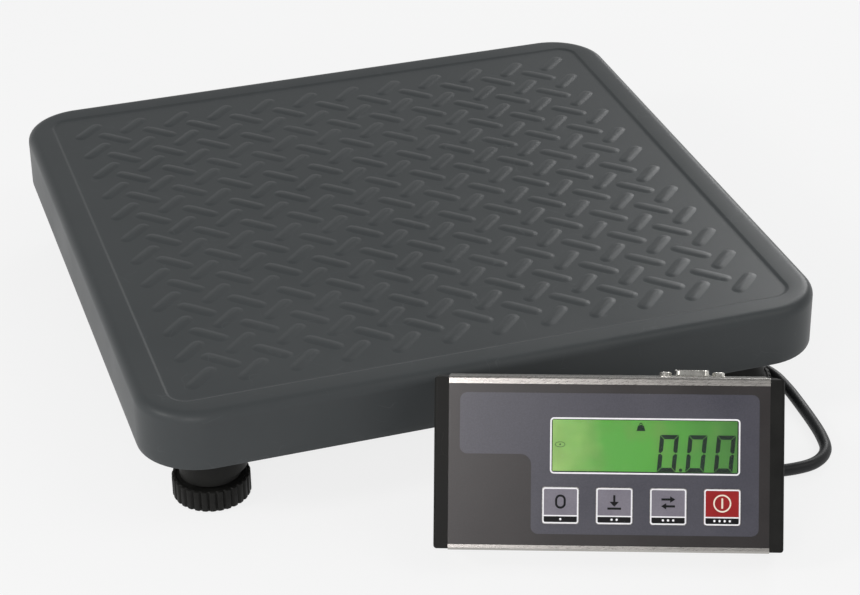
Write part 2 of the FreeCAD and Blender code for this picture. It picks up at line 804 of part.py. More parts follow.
def make_power_jack():
    back = "unit_depth"
    barrel = rod("y", f"{back} - 13", f"{back} + 0.6", "jack_x", "jack_z", "4.45")
    mouth = rod("y", f"{back} - 9", f"{back} + 2", "jack_x", "jack_z", "2.9")
    pin = rod("y", f"{back} - 10", f"{back} - 1", "jack_x", "jack_z", "1")
    group("power_jack", [joined(less(barrel, mouth), pin)], UNIT)


def make_unit_gland():
    x, z, back = "unit_gland_x", "unit_gland_z", "unit_depth"
    solid = joined(
        hexagon("y", f"{back} - shell_wall - 4", f"{back} - shell_wall", x, z, "gland_radius"),
        rod("y", f"{back} - shell_wall - 4", back, x, z, "5.4"),
        hexagon("y", back, f"{back} + 4", x, z, "gland_radius + 0.6"),
        rod("y", f"{back} + 4", f"{back} + 13", x, z, "gland_radius - 0.4", "Part::Cone", "4.4"),
    )
    bore = rod("y", f"{back} - 8", f"{back} + 14", x, z, "lead_radius + 0.02")
    group("unit_gland", [less(solid, bore)], UNIT)


def make_inserts():
    """Two threaded brass inserts in the back wall for a wall bracket."""
    members = []
    for side in (-1, 1):
        x = f"prop_x + ({side}) * insert_pitch / 2"
        sleeve = rod("y", "unit_depth - 7", "unit_depth", x, "insert_z", "2.95")
        members.append(less(sleeve, rod("y", "unit_depth - 8", "unit_depth + 1", x, "insert_z", "1.65")))
    group("mount_inserts", members, UNIT)


def make_prop():
    """The folding prop: a bracket with two ears on the back, a pin and a steel leg, shown folded out."""
    x, y, z, half = "prop_x", "prop_y", "prop_z", "prop_half"
    bracket = new_body("prop_bracket", UNIT)
    base = rectangle(f"{x} - {half} - 6", f"{x} + {half} + 6", f"{z} - 6", f"{z} + 6")
    add(bracket, "y", "unit_depth", "unit_depth + 1.4", base)
    for side in (-1, 1):
        near, far = f"{x} + ({side}) * ({half} + 0.4)", f"{x} + ({side}) * ({half} + 2.4)"
        low, high = (near, far) if side > 0 else (far, near)
        add(bracket, "x", low, high, rectangle("unit_depth", f"{y} + 3", f"{z} - 3.4", f"{z} + 3.4"))
        take(bracket, "x", low, high, circle(y, z, "prop_pin_radius + 0.02"))
    ends_at = f"{half} + 4"
    group("prop_pin", [rod("x", f"{x} - ({ends_at})", f"{x} + {ends_at}", y, z, "prop_pin_radius")], UNIT)
    hinge = Vector(dims.prop_x, dims.prop_y, dims.prop_z)
    place = UNIT * Placement(hinge, Rotation(Vector(1, 0, 0), dims.prop_open))
    leg = new_body("prop_leg", place)
    add(leg, "x", f"-{half}", half, circle("0", "0", "3"))
    add(leg, "x", f"-{half}", half, rectangle("-0.75", "0.75", "-prop_length", "-1"))
    take(leg, "x", f"-{half}", half, circle("0", "0", "prop_pin_radius + 0.05"))


# ---- lead ------------------------------------------------------------------------------------------------
# The lead's centre line, point by point: from the base gland down to the coil, and from the coil under the
# platform's right edge, round a loop on the floor and up to the gland on the indicator's back.
FLOOR = DIMENSIONS["lead_radius"] + 0.1
BASE_ROUTE = [
    (-100, -48, 42),
    (-100, -67, 40.5),
    (-96.5, -89, 33.5),
    (-85, -107, 24.5),
    (-66, -115, 17.3),
    (-48, -112, 13.2),
    (-35, -106, 11),
]
FRONT_ROUTE = [
    (-72.4, -96.4, FLOOR + 0.9),
    (-59, -107.2, FLOOR + 0.8),
    (-41, -112.8, FLOOR + 0.4),
    (-13, -113.6, FLOOR),
    (21, -111, FLOOR),
    (58, -105.5, FLOOR),
    (98, -100, FLOOR),
    (132, -101.5, FLOOR),
    (156, -113.5, FLOOR),
    (167.5, -132.5, FLOOR),
    (168.6, -151, FLOOR),
    (167.8, -168, FLOOR),
    (166.8, -184.5, FLOOR),
    (165.3, -198, FLOOR),
    (162, -211.2, FLOOR),
    (152, -219.6, FLOOR),
    (138.5, -220.8, FLOOR),
    (124.5, -218.5, FLOOR),
    (111, -217, FLOOR),
    (100, -222.1, FLOOR),
]
GLAND_RUN = 17


def unit_exit():
    """Points from the mouth of the indicator's gland outwards, for the last stretch of the lead."""
    mouth = Vector(dims.unit_gland_x, dims.unit_depth + 13, dims.unit_gland_z)
    return UNIT.multVec(mouth), UNIT.Rotation.multVec(Vector(0, 1, 0))


def tube_along(label, points):
    """Straight runs joined by tangent arcs; prints the arcs' radii and compares the volume."""
    points = [Vector(*point) for point in points]
    edges, start, radii, turned = [], points[0], [], 0.0
    for before, corner, after in zip(points, points[1:], points[2:]):
        ahead, behind = (after - corner).normalize(), (before - corner).normalize()
        turn = math.pi - behind.getAngle(ahead)
        setback = 0.45 * min((before - corner).Length, (after - corner).Length)
        radius = setback / math.tan(turn / 2)
        enter, leave = corner + behind * setback, corner + ahead * setback
        middle = (ahead + behind).normalize()
        reach = math.hypot(radius, setback) - radius
        edges.append(Part.LineSegment(start, enter).toShape())
        edges.append(Part.Arc(enter, corner + middle * reach, leave).toShape())
        radii.append(round(radius, 1))
        turned += radius * turn
        start = leave
    edges.append(Part.LineSegment(start, points[-1]).toShape())
    wire = Part.Wire(edges)
    across = Part.Wire(Part.makeCircle(dims.lead_radius, points[0], points[1] - points[0]))
    shape = wire.makePipeShell([across], True, False)
    wanted = math.pi * dims.lead_radius**2 * wire.Length
    print(label, "length", round(wire.Length, 1), "radii", radii)
    print(label, "volume against a plain tube's", round(shape.Volume / wanted, 4))
    tube = document.addObject("Part::Feature", label)
    tube.Shape = shape
    return keep(label, tube)


def make_leads():
    mouth, outward = unit_exit()
    last = [mouth + outward * GLAND_RUN, mouth]
    tube_along("lead_to_base", BASE_ROUTE)
    tube_along("lead_to_indicator", FRONT_ROUTE + [tuple(point) for point in last])
    inner_front = -dims.crossbar_half + 8
    cell_end = (-dims.cell_half_length, 0, 47)
    inside = [cell_end, (-79, 0, 46), (-93, -6, 44), (dims.gland_x, inner_front + 8, 42.3)]
    tube_along("cell_lead", inside + [(dims.gland_x, inner_front, dims.gland_z)])


def make_coil():
    """The outer shape of the wound lead, and the tie round it."""
    centre = Vector(dims.coil_x, dims.coil_y, dims.coil_bottom)
    outer, inner = (dims.coil_mid_radius + side * dims.coil_width / 2 for side in (1, -1))
    ring = Part.makeCylinder(outer, dims.coil_height, centre)
    ring = ring.cut(Part.makeCylinder(inner, dims.coil_height, centre))
    ring = ring.makeFillet(dims.lead_radius, [edge for edge in ring.Edges if edge.Closed])
    coil = document.addObject("Part::Feature", "lead_coil")
    coil.Shape = ring
    keep("lead_coil", coil)
    x, middle, half = "coil_x", "coil_y + coil_mid_radius", "coil_width / 2"
    low, high = "coil_bottom", "coil_bottom + coil_height"
    near, far = f"{middle} - {half}", f"{middle} + {half}"
    band = block(f"{x} - 5", f"{x} + 5", f"{near} - 1", f"{far} + 1", f"{low} - 0.8", f"{high} + 0.8")
    hole = block(f"{x} - 6", f"{x} + 6", f"{near} - 0.1", f"{far} + 0.1", low, high)
    group("coil_tie", [less(band, hole)])


def check_and_write():
    """Stop on any failed object, then write each piece to its own file."""
    document.recompute()
    failed = [item.Name for item in document.Objects if set(item.State) & {"Invalid", "Error"}]
    if failed:
        raise RuntimeError(f"failed objects: {failed}")
    os.makedirs("parts", exist_ok=True)
    for piece in pieces:
        shape = piece.Shape
        if shape.isNull() or not shape.isValid() or not shape.Solids:
            raise RuntimeError(f"{piece.Label} has no valid solid")
        shape.exportStep(f"parts/{piece.Label}.step")
    whole = FreeCAD.BoundBox()
    for piece in pieces:
        whole.add(piece.Shape.BoundBox)
    print(len(pieces), "pieces, box", whole)


make_cover()
make_locators()
make_buffers()
make_rails()
make_overload_stops()
make_base_crossbar()
make_deck_crossbar()
make_load_cell()
make_cell_spacers()
make_cell_screws()
make_level()
make_base_gland()
make_foot_bosses()
make_feet()
make_housing()
make_end_caps()
make_end_cap_screws()
make_front_panel()
make_display()
make_keys()
make_dome_sheet()
make_board()
make_serial_socket()
make_power_jack()
make_unit_gland()
make_inserts()
make_prop()
make_leads()
make_coil()
check_and_write()
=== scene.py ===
# %% [markdown]
# # A platform shipping scale
#
# A low bench scale: a pressed steel platform on four levelling feet, and a separate indicator in an
# aluminium housing, joined by a lead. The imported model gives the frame; every new surface here is worked
# out with numpy around it, in metres, and rides on one of its bodies.

# %% Frame
import json
import math

import bmesh
import bpy
import numpy as np
from mathutils import Matrix, Vector


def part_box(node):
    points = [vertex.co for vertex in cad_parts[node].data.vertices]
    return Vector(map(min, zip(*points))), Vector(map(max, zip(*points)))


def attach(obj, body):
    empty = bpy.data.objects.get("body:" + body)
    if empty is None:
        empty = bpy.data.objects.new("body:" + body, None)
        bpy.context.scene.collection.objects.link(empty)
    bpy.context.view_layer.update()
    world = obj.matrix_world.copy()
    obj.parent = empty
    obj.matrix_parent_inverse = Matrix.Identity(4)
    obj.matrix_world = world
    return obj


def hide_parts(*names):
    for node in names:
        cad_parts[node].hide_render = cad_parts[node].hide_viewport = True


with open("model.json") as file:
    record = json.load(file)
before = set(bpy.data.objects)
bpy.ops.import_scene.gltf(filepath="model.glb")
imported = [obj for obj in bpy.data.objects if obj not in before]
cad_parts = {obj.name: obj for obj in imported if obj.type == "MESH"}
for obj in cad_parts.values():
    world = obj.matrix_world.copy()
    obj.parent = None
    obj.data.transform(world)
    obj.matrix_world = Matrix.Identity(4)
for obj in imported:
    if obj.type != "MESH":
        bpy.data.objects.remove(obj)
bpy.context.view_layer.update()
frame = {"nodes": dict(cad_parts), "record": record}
MM = 0.001
TAU = 2 * math.pi

# %% [markdown]
# ## Camera
#
# The camera looks down thirty degrees over the indicator. A long lens keeps the platform's edges almost
# parallel. It could be aimed by a constraint, but a rotation worked out from three angles stays put when a
# view moves the camera.

# %% Camera
CAMERA_PLACE = Vector((-0.3370, -1.1322, 0.6889))
AZIMUTH, ELEVATION, ROLL = math.radians(17.43), math.radians(29.96), math.radians(-0.82)
LENS_MM = 101.9

lens = bpy.data.cameras.new("camera")
lens.lens, lens.sensor_width = LENS_MM, 36
lens.clip_start, lens.clip_end = 0.05, 50
camera = bpy.data.objects.new("camera", lens)
bpy.context.scene.collection.objects.link(camera)
turned = Matrix.Rotation(-AZIMUTH, 4, "Z") @ Matrix.Rotation(math.pi / 2 - ELEVATION, 4, "X")
camera.matrix_world = Matrix.Translation(CAMERA_PLACE) @ turned @ Matrix.Rotation(ROLL, 4, "Z")
bpy.context.scene.camera = camera
bpy.context.scene.view_settings.view_transform = "Standard"
print("camera at", tuple(round(v, 3) for v in CAMERA_PLACE))

# %% [markdown]
# ## The lead
#
# The lead is about two metres of black PVC cable, 6.2 mm thick. It leaves a gland on the base's crossbar,
# drops to the floor, and its spare length is wound into a neat flat coil under the platform, four turns wide
# and two high. From the coil it runs under the right edge and round a loop to the gland on the indicator's
# back. A NURBS curve with given points is the whole cord; a bevel gives it its thickness.

# %% The lead's route
LEAD_RADIUS = 3.1 * MM
FLOOR = 3.2
FROM_BASE = [
    (-100, -48, 42), (-100, -67, 40.5), (-96.5, -89, 33.5), (-85, -107, 24.5), (-66, -115, 17.3),
    (-48, -112, 13.2),
]
TO_UNIT = [
    (-59, -107.2, FLOOR + 0.8), (-41, -112.8, FLOOR + 0.4), (-13, -113.6, FLOOR), (21, -111, FLOOR),
    (58, -105.5, FLOOR), (98, -100, FLOOR), (132, -101.5, FLOOR), (156, -113.5, FLOOR),
    (167.5, -132.5, FLOOR), (168.6, -151, FLOOR), (167.8, -168, FLOOR), (166.8, -184.5, FLOOR),
    (165.3, -198, FLOOR), (162, -211.2, FLOOR), (152, -219.6, FLOOR), (138.5, -220.8, FLOOR),
    (124.5, -218.5, FLOOR), (111, -217, FLOOR), (100, -222.1, FLOOR), (93.14, -231.38, 4.05),
    (88.07, -245.21, 12.55),
]
COIL_CENTRE = (-45, -66)
COIL_TURNS, TURN_POINTS, TURN_GAP = 8 - 1 / 6, 16, 6.3
COIL_INNER, COIL_LOW = 21.55, 4.1


def coil_points():
    """Turns of a wound lead. The angle grows evenly; in the last sixth of each turn the winding steps by one
    gap, inwards along the upper layer, down at the inside, and outwards along the lower layer."""
    start = math.radians(-72)
    turns = np.linspace(0, COIL_TURNS, int(COIL_TURNS * TURN_POINTS) + 1)
    whole = np.floor(turns)
    jog = np.clip((turns - whole) * 6 - 5, 0, 1)
    step = whole + jog * jog * (3 - 2 * jog)
    reach = COIL_INNER + TURN_GAP * np.maximum(np.abs(step - 3.5) - 0.5, 0)
    reach = reach / math.cos(math.pi / TURN_POINTS)
    angle = start + turns * TAU
    height = COIL_LOW + TURN_GAP * np.clip(4 - step, 0, 1)
    return np.stack(
        [COIL_CENTRE[0] + reach * np.cos(angle), COIL_CENTRE[1] + reach * np.sin(angle), height], axis=1
    )


route = np.vstack([FROM_BASE, coil_points(), TO_UNIT]) * MM
print("lead:", len(route), "points")


# %% The cord itself
def cord_curve(name, points, radius):
    """A NURBS curve of order 3 that ends at its first and last points, with a round bevel."""
    curve = bpy.data.curves.new(name, "CURVE")
    curve.dimensions = "3D"
    curve.resolution_u = 8
    spline = curve.splines.new("NURBS")
    spline.points.add(len(points) - 1)
    spline.points.foreach_set("co", np.column_stack([points, np.ones(len(points))]).ravel())
    spline.order_u = 3
    spline.use_endpoint_u = True
    spline.use_smooth = True
    curve.bevel_depth = radius
    curve.bevel_resolution = 5
    curve.use_fill_caps = True
    made = bpy.data.objects.new(name, curve)
    bpy.context.scene.collection.objects.link(made)
    return made


def centre_line(cord):
    """The cord's own line as points: its curve's mesh with the bevel taken off for the moment."""
    depth, caps = cord.data.bevel_depth, cord.data.use_fill_caps
    cord.data.bevel_depth, cord.data.use_fill_caps = 0, False
    bare = bpy.data.meshes.new_from_object(cord)
    line = np.zeros(len(bare.vertices) * 3)
    bare.vertices.foreach_get("co", line)
    bpy.data.meshes.remove(bare)
    cord.data.bevel_depth, cord.data.use_fill_caps = depth, caps
    return line.reshape(-1, 3)


lead = cord_curve("lead", route, LEAD_RADIUS)
LEAD_LINE = centre_line(lead)
LEAD_LENGTH = float(np.linalg.norm(np.diff(LEAD_LINE, axis=0), axis=1).sum())
print("lead length", round(LEAD_LENGTH, 3), "m")

# %% [markdown]
# ## Surfaces
#
# Every new piece is a skin over rings of points: ring after ring of the same number of points, joined by
# quads, with a fan where an end is closed. Loose shapes could be modelled one by one with primitives, but
# with rings one helper makes a pressed pan, a fluted wheel and a printed border alike.


# %% Skins from rings
def skin(rings, first=None, last=None, loop=False):
    """Rings as an array of rows, points and x, y, z. Point j of row i joins point j + 1 and the same two of
    row i + 1. first and last are the middles of fans that close the ends; loop joins the last row to the
    first instead. Returns points and faces."""
    rings = np.asarray(rings, float)
    rows, across = rings.shape[:2]
    points = rings.reshape(-1, 3)
    row, column = np.meshgrid(np.arange(rows if loop else rows - 1), np.arange(across), indexing="ij")
    here, below, beside = row * across, (row + 1) % rows * across, (column + 1) % across
    quads = np.stack([here + column, here + beside, below + beside, below + column], -1)
    faces = quads.reshape(-1, 4).tolist()
    around = np.arange(across)
    if first is not None:
        points = np.vstack([points, first])
        tip = np.full(across, len(points) - 1)
        faces += np.stack([around, tip, (around + 1) % across], -1).tolist()
    if last is not None:
        points = np.vstack([points, last])
        tip, base = np.full(across, len(points) - 1), (rows - 1) * across
        faces += np.stack([base + around, base + (around + 1) % across, tip], -1).tolist()
    return points, faces


def piece(name, shapes, material, body, stands_for=(), smooth_deg=35):
    """One mesh from several skins, its faces turned outwards, in the frame's own place."""
    points = np.vstack([shape[0] for shape in shapes])
    starts = np.cumsum([0] + [len(shape[0]) for shape in shapes])
    faces = [[start + k for k in face] for (_, some), start in zip(shapes, starts) for face in some]
    mesh = bpy.data.meshes.new(name)
    mesh.from_pydata(points.tolist(), [], faces)
    mesh.validate()
    made = bpy.data.objects.new(name, mesh)
    bpy.context.scene.collection.objects.link(made)
    outwards(mesh)
    mesh.shade_smooth()
    mesh.set_sharp_from_angle(angle=math.radians(smooth_deg))
    mesh.materials.append(material)
    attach(made, body)
    if stands_for:
        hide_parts(*stands_for)
    print(f"{name}: {len(points)} points, {len(faces)} faces")
    return made


def outwards(mesh, weld=0.0):
    """Turns the faces of closed shells outwards, once points nearer than weld are merged."""
    work = bmesh.new()
    work.from_mesh(mesh)
    if weld:
        bmesh.ops.remove_doubles(work, verts=work.verts, dist=weld)
    bmesh.ops.recalc_face_normals(work, faces=work.faces)
    work.to_mesh(mesh)
    work.free()


def outline(corners, radii, steps=6):
    """A path of right-angled corners, each rounded: from the corner back along the way in by r (1 - sin t)
    and on along the way out by r (1 - cos t), for t from 0 to a quarter turn."""
    corners = np.asarray(corners, float)
    radii = np.broadcast_to(np.asarray(radii, float), len(corners))[:, None, None]
    way_in = corners - np.roll(corners, 1, axis=0)
    way_in /= np.linalg.norm(way_in, axis=1, keepdims=True)
    way_out = np.roll(way_in, -1, axis=0)
    t = np.linspace(0, math.pi / 2, steps + 1)[None, :, None]
    back, on = radii * (1 - np.sin(t)), radii * (1 - np.cos(t))
    return (corners[:, None] - way_in[:, None] * back + way_out[:, None] * on).reshape(-1, 2)


def oblong(left, right, low, high, radius, grow=0.0, steps=6):
    """A rectangle's outline with rounded corners, grown outwards by grow."""
    a, b, c, d = left - grow, right + grow, low - grow, high + grow
    return outline([(a, c), (b, c), (b, d), (a, d)], max(radius + grow, 0.01), steps)


def circle(radius, count, middle=(0, 0)):
    """count points round a circle."""
    angle = np.arange(count) * TAU / count
    return np.stack([middle[0] + radius * np.cos(angle), middle[1] + radius * np.sin(angle)], axis=1)


# %% The indicator's own frame
# The indicator is drawn flat: x along its face, y into it, z up its face. One matrix leans it back and turns
# it towards the front left, so that its lower back edge is on the floor.
UNIT_DEPTH, UNIT_HEIGHT = 30, 82
lean = Matrix.Rotation(math.radians(-20.13), 4, "Z") @ Matrix.Rotation(math.radians(-30), 4, "X")
UNIT = Matrix.Translation(Vector((-58.1, -243, UNIT_DEPTH / 2)) * MM) @ lean


def on_unit(points):
    """Millimetres in the indicator's frame to metres in the row frame."""
    turn = np.array(UNIT.to_3x3())
    return np.asarray(points, float) * MM @ turn.T + np.array(UNIT.translation)


def face_plate(path, front, back, middle=None, edge=0.0):
    """A thin plate on the indicator's face: its outline at the back and at the front, closed by fans to a
    middle that sees the whole outline. edge rounds the front's rim."""
    path = np.asarray(path, float)
    middle = path.mean(axis=0) if middle is None else np.asarray(middle, float)
    inward = middle + (path - middle) * (1 - edge)
    rows = [(path, back), (path, front + edge), (inward, front)] if edge else [(path, back), (path, front)]
    rings = [np.column_stack([p[:, 0], np.full(len(p), y), p[:, 1]]) for p, y in rows]
    ends = [(middle[0], y, middle[1]) for y in (back, front)]
    points, faces = skin(rings, ends[0], ends[1])
    return on_unit(points), faces


def face_ring(outer, inner, front, back):
    """A printed line on the face: four rows round two outlines, joined into a closed ring."""
    rows = [(outer, back), (outer, front), (inner, front), (inner, back)]
    rings = [np.column_stack([p[:, 0], np.full(len(p), y), p[:, 1]]) for p, y in rows]
    points, faces = skin(rings, loop=True)
    return on_unit(points), faces


print("indicator frame origin", tuple(round(v, 4) for v in UNIT.translation))

# %% [markdown]
# ## Shared effects
#
# Paint, moulded plastic and metal share a few effects: a slow mottle between two tones, the fine skin that
# gives gloss its breakup, hair scratches, and lines that run one way on drawn metal. Each is a node group
# that puts out a colour, a mask or a height; the shader itself stays in each material.


# %% Node group tools
def effect(name, inputs, outputs):
    """An empty shader node group with named inputs and outputs, and its two ends."""
    tree = bpy.data.node_groups.new(name, "ShaderNodeTree")
    for label, kind, value in inputs:
        socket = tree.interface.new_socket(label, in_out="INPUT", socket_type=f"NodeSocket{kind}")
        if value is not None:
            socket.default_value = value
    for label, kind in outputs:
        tree.interface.new_socket(label, in_out="OUTPUT", socket_type=f"NodeSocket{kind}")
    return tree, tree.nodes.new("NodeGroupInput"), tree.nodes.new("NodeGroupOutput")


def put(tree, kind, settings=None, **sockets):
    """Adds a node; a socket takes a value, or a link where it is given another node's output."""
    node = tree.nodes.new(kind)
    for key, value in (settings or {}).items():
        setattr(node, key, value)
    for key, value in sockets.items():
        socket = node.inputs[int(key[1:])] if key[1:].isdigit() else node.inputs[key.replace("_", " ")]
        if isinstance(value, bpy.types.NodeSocket):
            tree.links.new(value, socket)
        else:
            socket.default_value = value
    return node


def noise(tree, where, size, detail=3.0, rough=0.5):
    """Noise whose bumps are about size metres across."""
    if not isinstance(size, bpy.types.NodeSocket):
        return put(tree, "ShaderNodeTexNoise", Vector=where, Scale=1 / size, Detail=detail, Roughness=rough)
    scale = sums(tree, "DIVIDE", 1.0, size)
    return put(tree, "ShaderNodeTexNoise", Vector=where, Scale=scale, Detail=detail, Roughness=rough)


def spread(tree, value, low, high, to_low=0.0, to_high=1.0):
    """Maps a value's middle range to another, clamped."""
    made = put(tree, "ShaderNodeMapRange", s0=value, s1=low, s2=high, s3=to_low, s4=to_high)
    return made.outputs[0]


def blend(tree, share, first, second):
    """A mix of two colours, each one a value or another node's output."""
    return put(tree, "ShaderNodeMix", {"data_type": "RGBA"}, s0=share, s6=first, s7=second).outputs[2]


def sums(tree, operation, *values):
    """A math node's result."""
    sockets = {f"s{number}": value for number, value in enumerate(values)}
    return put(tree, "ShaderNodeMath", {"operation": operation}, **sockets).outputs[0]


# %% The effects
mottle, given, gives = effect(
    "mottle",
    [("Where", "Vector", None), ("Size", "Float", 0.03), ("Dark", "Color", (0.1, 0.1, 0.1, 1)),
     ("Light", "Color", (0.2, 0.2, 0.2, 1))],
    [("Colour", "Color"), ("Mask", "Float")],
)
cloud = noise(mottle, given.outputs["Where"], given.outputs["Size"], 4, 0.55)
share = spread(mottle, cloud.outputs[0], 0.3, 0.7)
tones = blend(mottle, share, given.outputs["Dark"], given.outputs["Light"])
mottle.links.new(tones, gives.inputs["Colour"])
mottle.links.new(share, gives.inputs["Mask"])

peel, given, gives = effect(
    "peel", [("Where", "Vector", None), ("Size", "Float", 0.002)], [("Height", "Float")]
)
coarse = noise(peel, given.outputs["Where"], given.outputs["Size"], 1, 0.4)
quarter = sums(peel, "MULTIPLY", given.outputs["Size"], 0.22)
fine = noise(peel, given.outputs["Where"], quarter, 1, 0.5)
both = sums(peel, "MULTIPLY_ADD", fine.outputs[0], 0.35, coarse.outputs[0])
peel.links.new(both, gives.inputs["Height"])

hairlines, given, gives = effect(
    "hairlines",
    [("Where", "Vector", None), ("Width", "Float", 0.0004)],
    [("Mask", "Float"), ("Height", "Float")],
)
drawn = put(hairlines, "ShaderNodeVectorMath", {"operation": "MULTIPLY"},
            s0=given.outputs["Where"], s1=(0.012, 1, 1))
lines = noise(hairlines, drawn.outputs[0], given.outputs["Width"], 2, 0.6)
hairlines.links.new(spread(hairlines, lines.outputs[0], 0.35, 0.65), gives.inputs["Mask"])
hairlines.links.new(lines.outputs[0], gives.inputs["Height"])

scratches, given, gives = effect(
    "scratches", [("Where", "Vector", None), ("Size", "Float", 0.02)], [("Mask", "Float")]
)
bent = noise(scratches, given.outputs["Where"], given.outputs["Size"], 2, 0.5)
cells = sums(scratches, "DIVIDE", 1.0, given.outputs["Size"])
moved = put(scratches, "ShaderNodeVectorMath", {"operation": "MULTIPLY_ADD"},
            s0=bent.outputs[1], s1=(0.03, 0.03, 0.03), s2=given.outputs["Where"])
web = put(scratches, "ShaderNodeTexVoronoi", {"feature": "DISTANCE_TO_EDGE"},
          Vector=moved.outputs[0], Scale=cells)
gate = noise(scratches, given.outputs["Where"], given.outputs["Size"], 1, 0.5)
thin = spread(scratches, web.outputs[0], 0.0, 0.012, 1, 0)
some = spread(scratches, gate.outputs[0], 0.52, 0.6)
scratches.links.new(sums(scratches, "MULTIPLY", thin, some), gives.inputs["Mask"])

specks, given, gives = effect(
    "specks", [("Where", "Vector", None), ("Size", "Float", 0.0006)], [("Mask", "Float")]
)
dots = noise(specks, given.outputs["Where"], given.outputs["Size"], 2, 0.75)
specks.links.new(spread(specks, dots.outputs[0], 0.38, 0.62), gives.inputs["Mask"])
print("effects:", [g.name for g in bpy.data.node_groups])

# %% [markdown]
# ## Finishes
#
# One function builds a finish: a mottle of two close tones, roughness that breaks up with the mottle and
# with scratches, and a fine bump. What is the same all over, such as metal or gloss level, is set on the
# shader's own sockets.


# %% The finish builder
def use(tree, group, **sockets):
    """Places a node group in a material with its own values."""
    node = tree.nodes.new("ShaderNodeGroup")
    node.node_tree = group
    for key, value in sockets.items():
        if isinstance(value, bpy.types.NodeSocket):
            tree.links.new(value, node.inputs[key])
        else:
            node.inputs[key].default_value = value
    return node


def shade(value):
    """A colour with its alpha."""
    return (*value, 1)


def finish(
    name, dark, light, rough=(0.4, 0.5), size=30, bump=0.1, grain=1.5, metal=0.0, specular=0.5, wear=0.0,
    drawn=None, turn=None, speck=0.0,
):
    """A finish. size and grain are millimetres; bump is the height of the skin in hundredths of a millimetre;
    wear is how much scratches lighten and dull it; drawn is the width of drawn lines in millimetres, and
    speck how much of the light tone comes as fine specks."""
    material = bpy.data.materials.new(name)
    material.use_nodes = True
    tree = material.node_tree
    shader = tree.nodes["Principled BSDF"]
    where = put(tree, "ShaderNodeTexCoord").outputs["Object"]
    if turn is not None:
        where = put(tree, "ShaderNodeMapping", Vector=where, Rotation=turn).outputs[0]
    tone = use(tree, mottle, Where=where, Size=size * MM, Dark=shade(dark), Light=shade(light))
    colour, mask = tone.outputs["Colour"], tone.outputs["Mask"]
    if speck:
        dotted = use(tree, specks, Where=where, Size=0.7 * MM)
        amount = sums(tree, "MULTIPLY", dotted.outputs[0], speck)
        colour = blend(tree, amount, colour, shade([min(1, 1.9 * c) for c in light]))
    roughness = spread(tree, mask, 0, 1, *rough)
    height = use(tree, peel, Where=where, Size=grain * MM).outputs["Height"]
    if drawn:
        lines = use(tree, hairlines, Where=where, Width=drawn * MM)
        roughness = spread(tree, lines.outputs["Mask"], 0, 1, *rough)
        height = lines.outputs["Height"]
    if wear:
        marks = use(tree, scratches, Where=where, Size=22 * MM).outputs["Mask"]
        amount = sums(tree, "MULTIPLY", marks, wear)
        colour = blend(tree, amount, colour, shade([min(1, 1.6 * c + 0.02) for c in light]))
        roughness = sums(tree, "MULTIPLY_ADD", amount, 0.25, roughness)
    tree.links.new(colour, shader.inputs["Base Color"])
    tree.links.new(roughness, shader.inputs["Roughness"])
    skin_bump = put(tree, "ShaderNodeBump", Height=height, Strength=0.6, Distance=bump * 0.01 * MM)
    tree.links.new(skin_bump.outputs[0], shader.inputs["Normal"])
    shader.inputs["Metallic"].default_value = metal
    shader.inputs["Specular IOR Level"].default_value = specular
    return material


FINISHES = {}
ALONG_UNIT = (math.radians(30), 0, math.radians(20.13))


def add_finish(name, dark, light, **settings):
    """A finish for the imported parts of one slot, kept under the slot's name."""
    FINISHES[name] = finish(name, dark, light, **settings)


# %% Paint, rubber and plastic
add_finish(
    "paint_grey", (0.045, 0.050, 0.052), (0.052, 0.057, 0.059), rough=(0.38, 0.46), size=60, bump=1.6,
    grain=1.1, specular=0.2, wear=0.3,
)
add_finish(
    "rubber_black", (0.011, 0.011, 0.011), (0.020, 0.020, 0.019), rough=(0.7, 0.85), size=8, bump=3,
    grain=0.8, specular=0.3,
)
add_finish(
    "plastic_black", (0.009, 0.009, 0.0085), (0.014, 0.014, 0.013), rough=(0.42, 0.55), size=12, bump=2.2,
    grain=0.5, specular=0.12, wear=0.2,
)
add_finish(
    "lead_black", (0.014, 0.015, 0.016), (0.021, 0.022, 0.023), rough=(0.42, 0.54), size=15, bump=0.6,
    grain=0.9, specular=0.28,
)
add_finish(
    "silicone", (0.55, 0.55, 0.53), (0.66, 0.66, 0.64), rough=(0.5, 0.65), size=9, bump=1, grain=0.6,
)
add_finish(
    "board_green", (0.015, 0.11, 0.045), (0.025, 0.16, 0.065), rough=(0.25, 0.4), size=5, bump=1.5, grain=0.7,
    speck=0.15,
)

# %% Metals
add_finish(
    "steel_zinc", (0.46, 0.47, 0.49), (0.58, 0.58, 0.57), rough=(0.28, 0.42), size=6, bump=1.2, grain=0.7,
    metal=1.0, wear=0.2,
)
add_finish(
    "steel_plain", (0.38, 0.38, 0.39), (0.48, 0.48, 0.48), rough=(0.3, 0.45), size=14, bump=1.0, metal=1.0,
    drawn=0.35,
)
add_finish(
    "aluminium_cell", (0.62, 0.63, 0.64), (0.72, 0.72, 0.72), rough=(0.3, 0.42), size=18, bump=0.8, metal=1.0,
    drawn=0.3,
)
add_finish(
    "aluminium_shell", (0.40, 0.385, 0.365), (0.47, 0.455, 0.43), rough=(0.24, 0.36), size=40, bump=0.35,
    metal=1.0, drawn=0.25, turn=ALONG_UNIT,
)
add_finish(
    "socket_metal", (0.55, 0.54, 0.50), (0.68, 0.67, 0.63), rough=(0.2, 0.32), size=4, bump=0.6, grain=0.5,
    metal=1.0,
)
add_finish(
    "brass_insert", (0.52, 0.36, 0.13), (0.64, 0.46, 0.19), rough=(0.25, 0.38), size=4, bump=0.8, grain=0.4,
    metal=1.0,
)

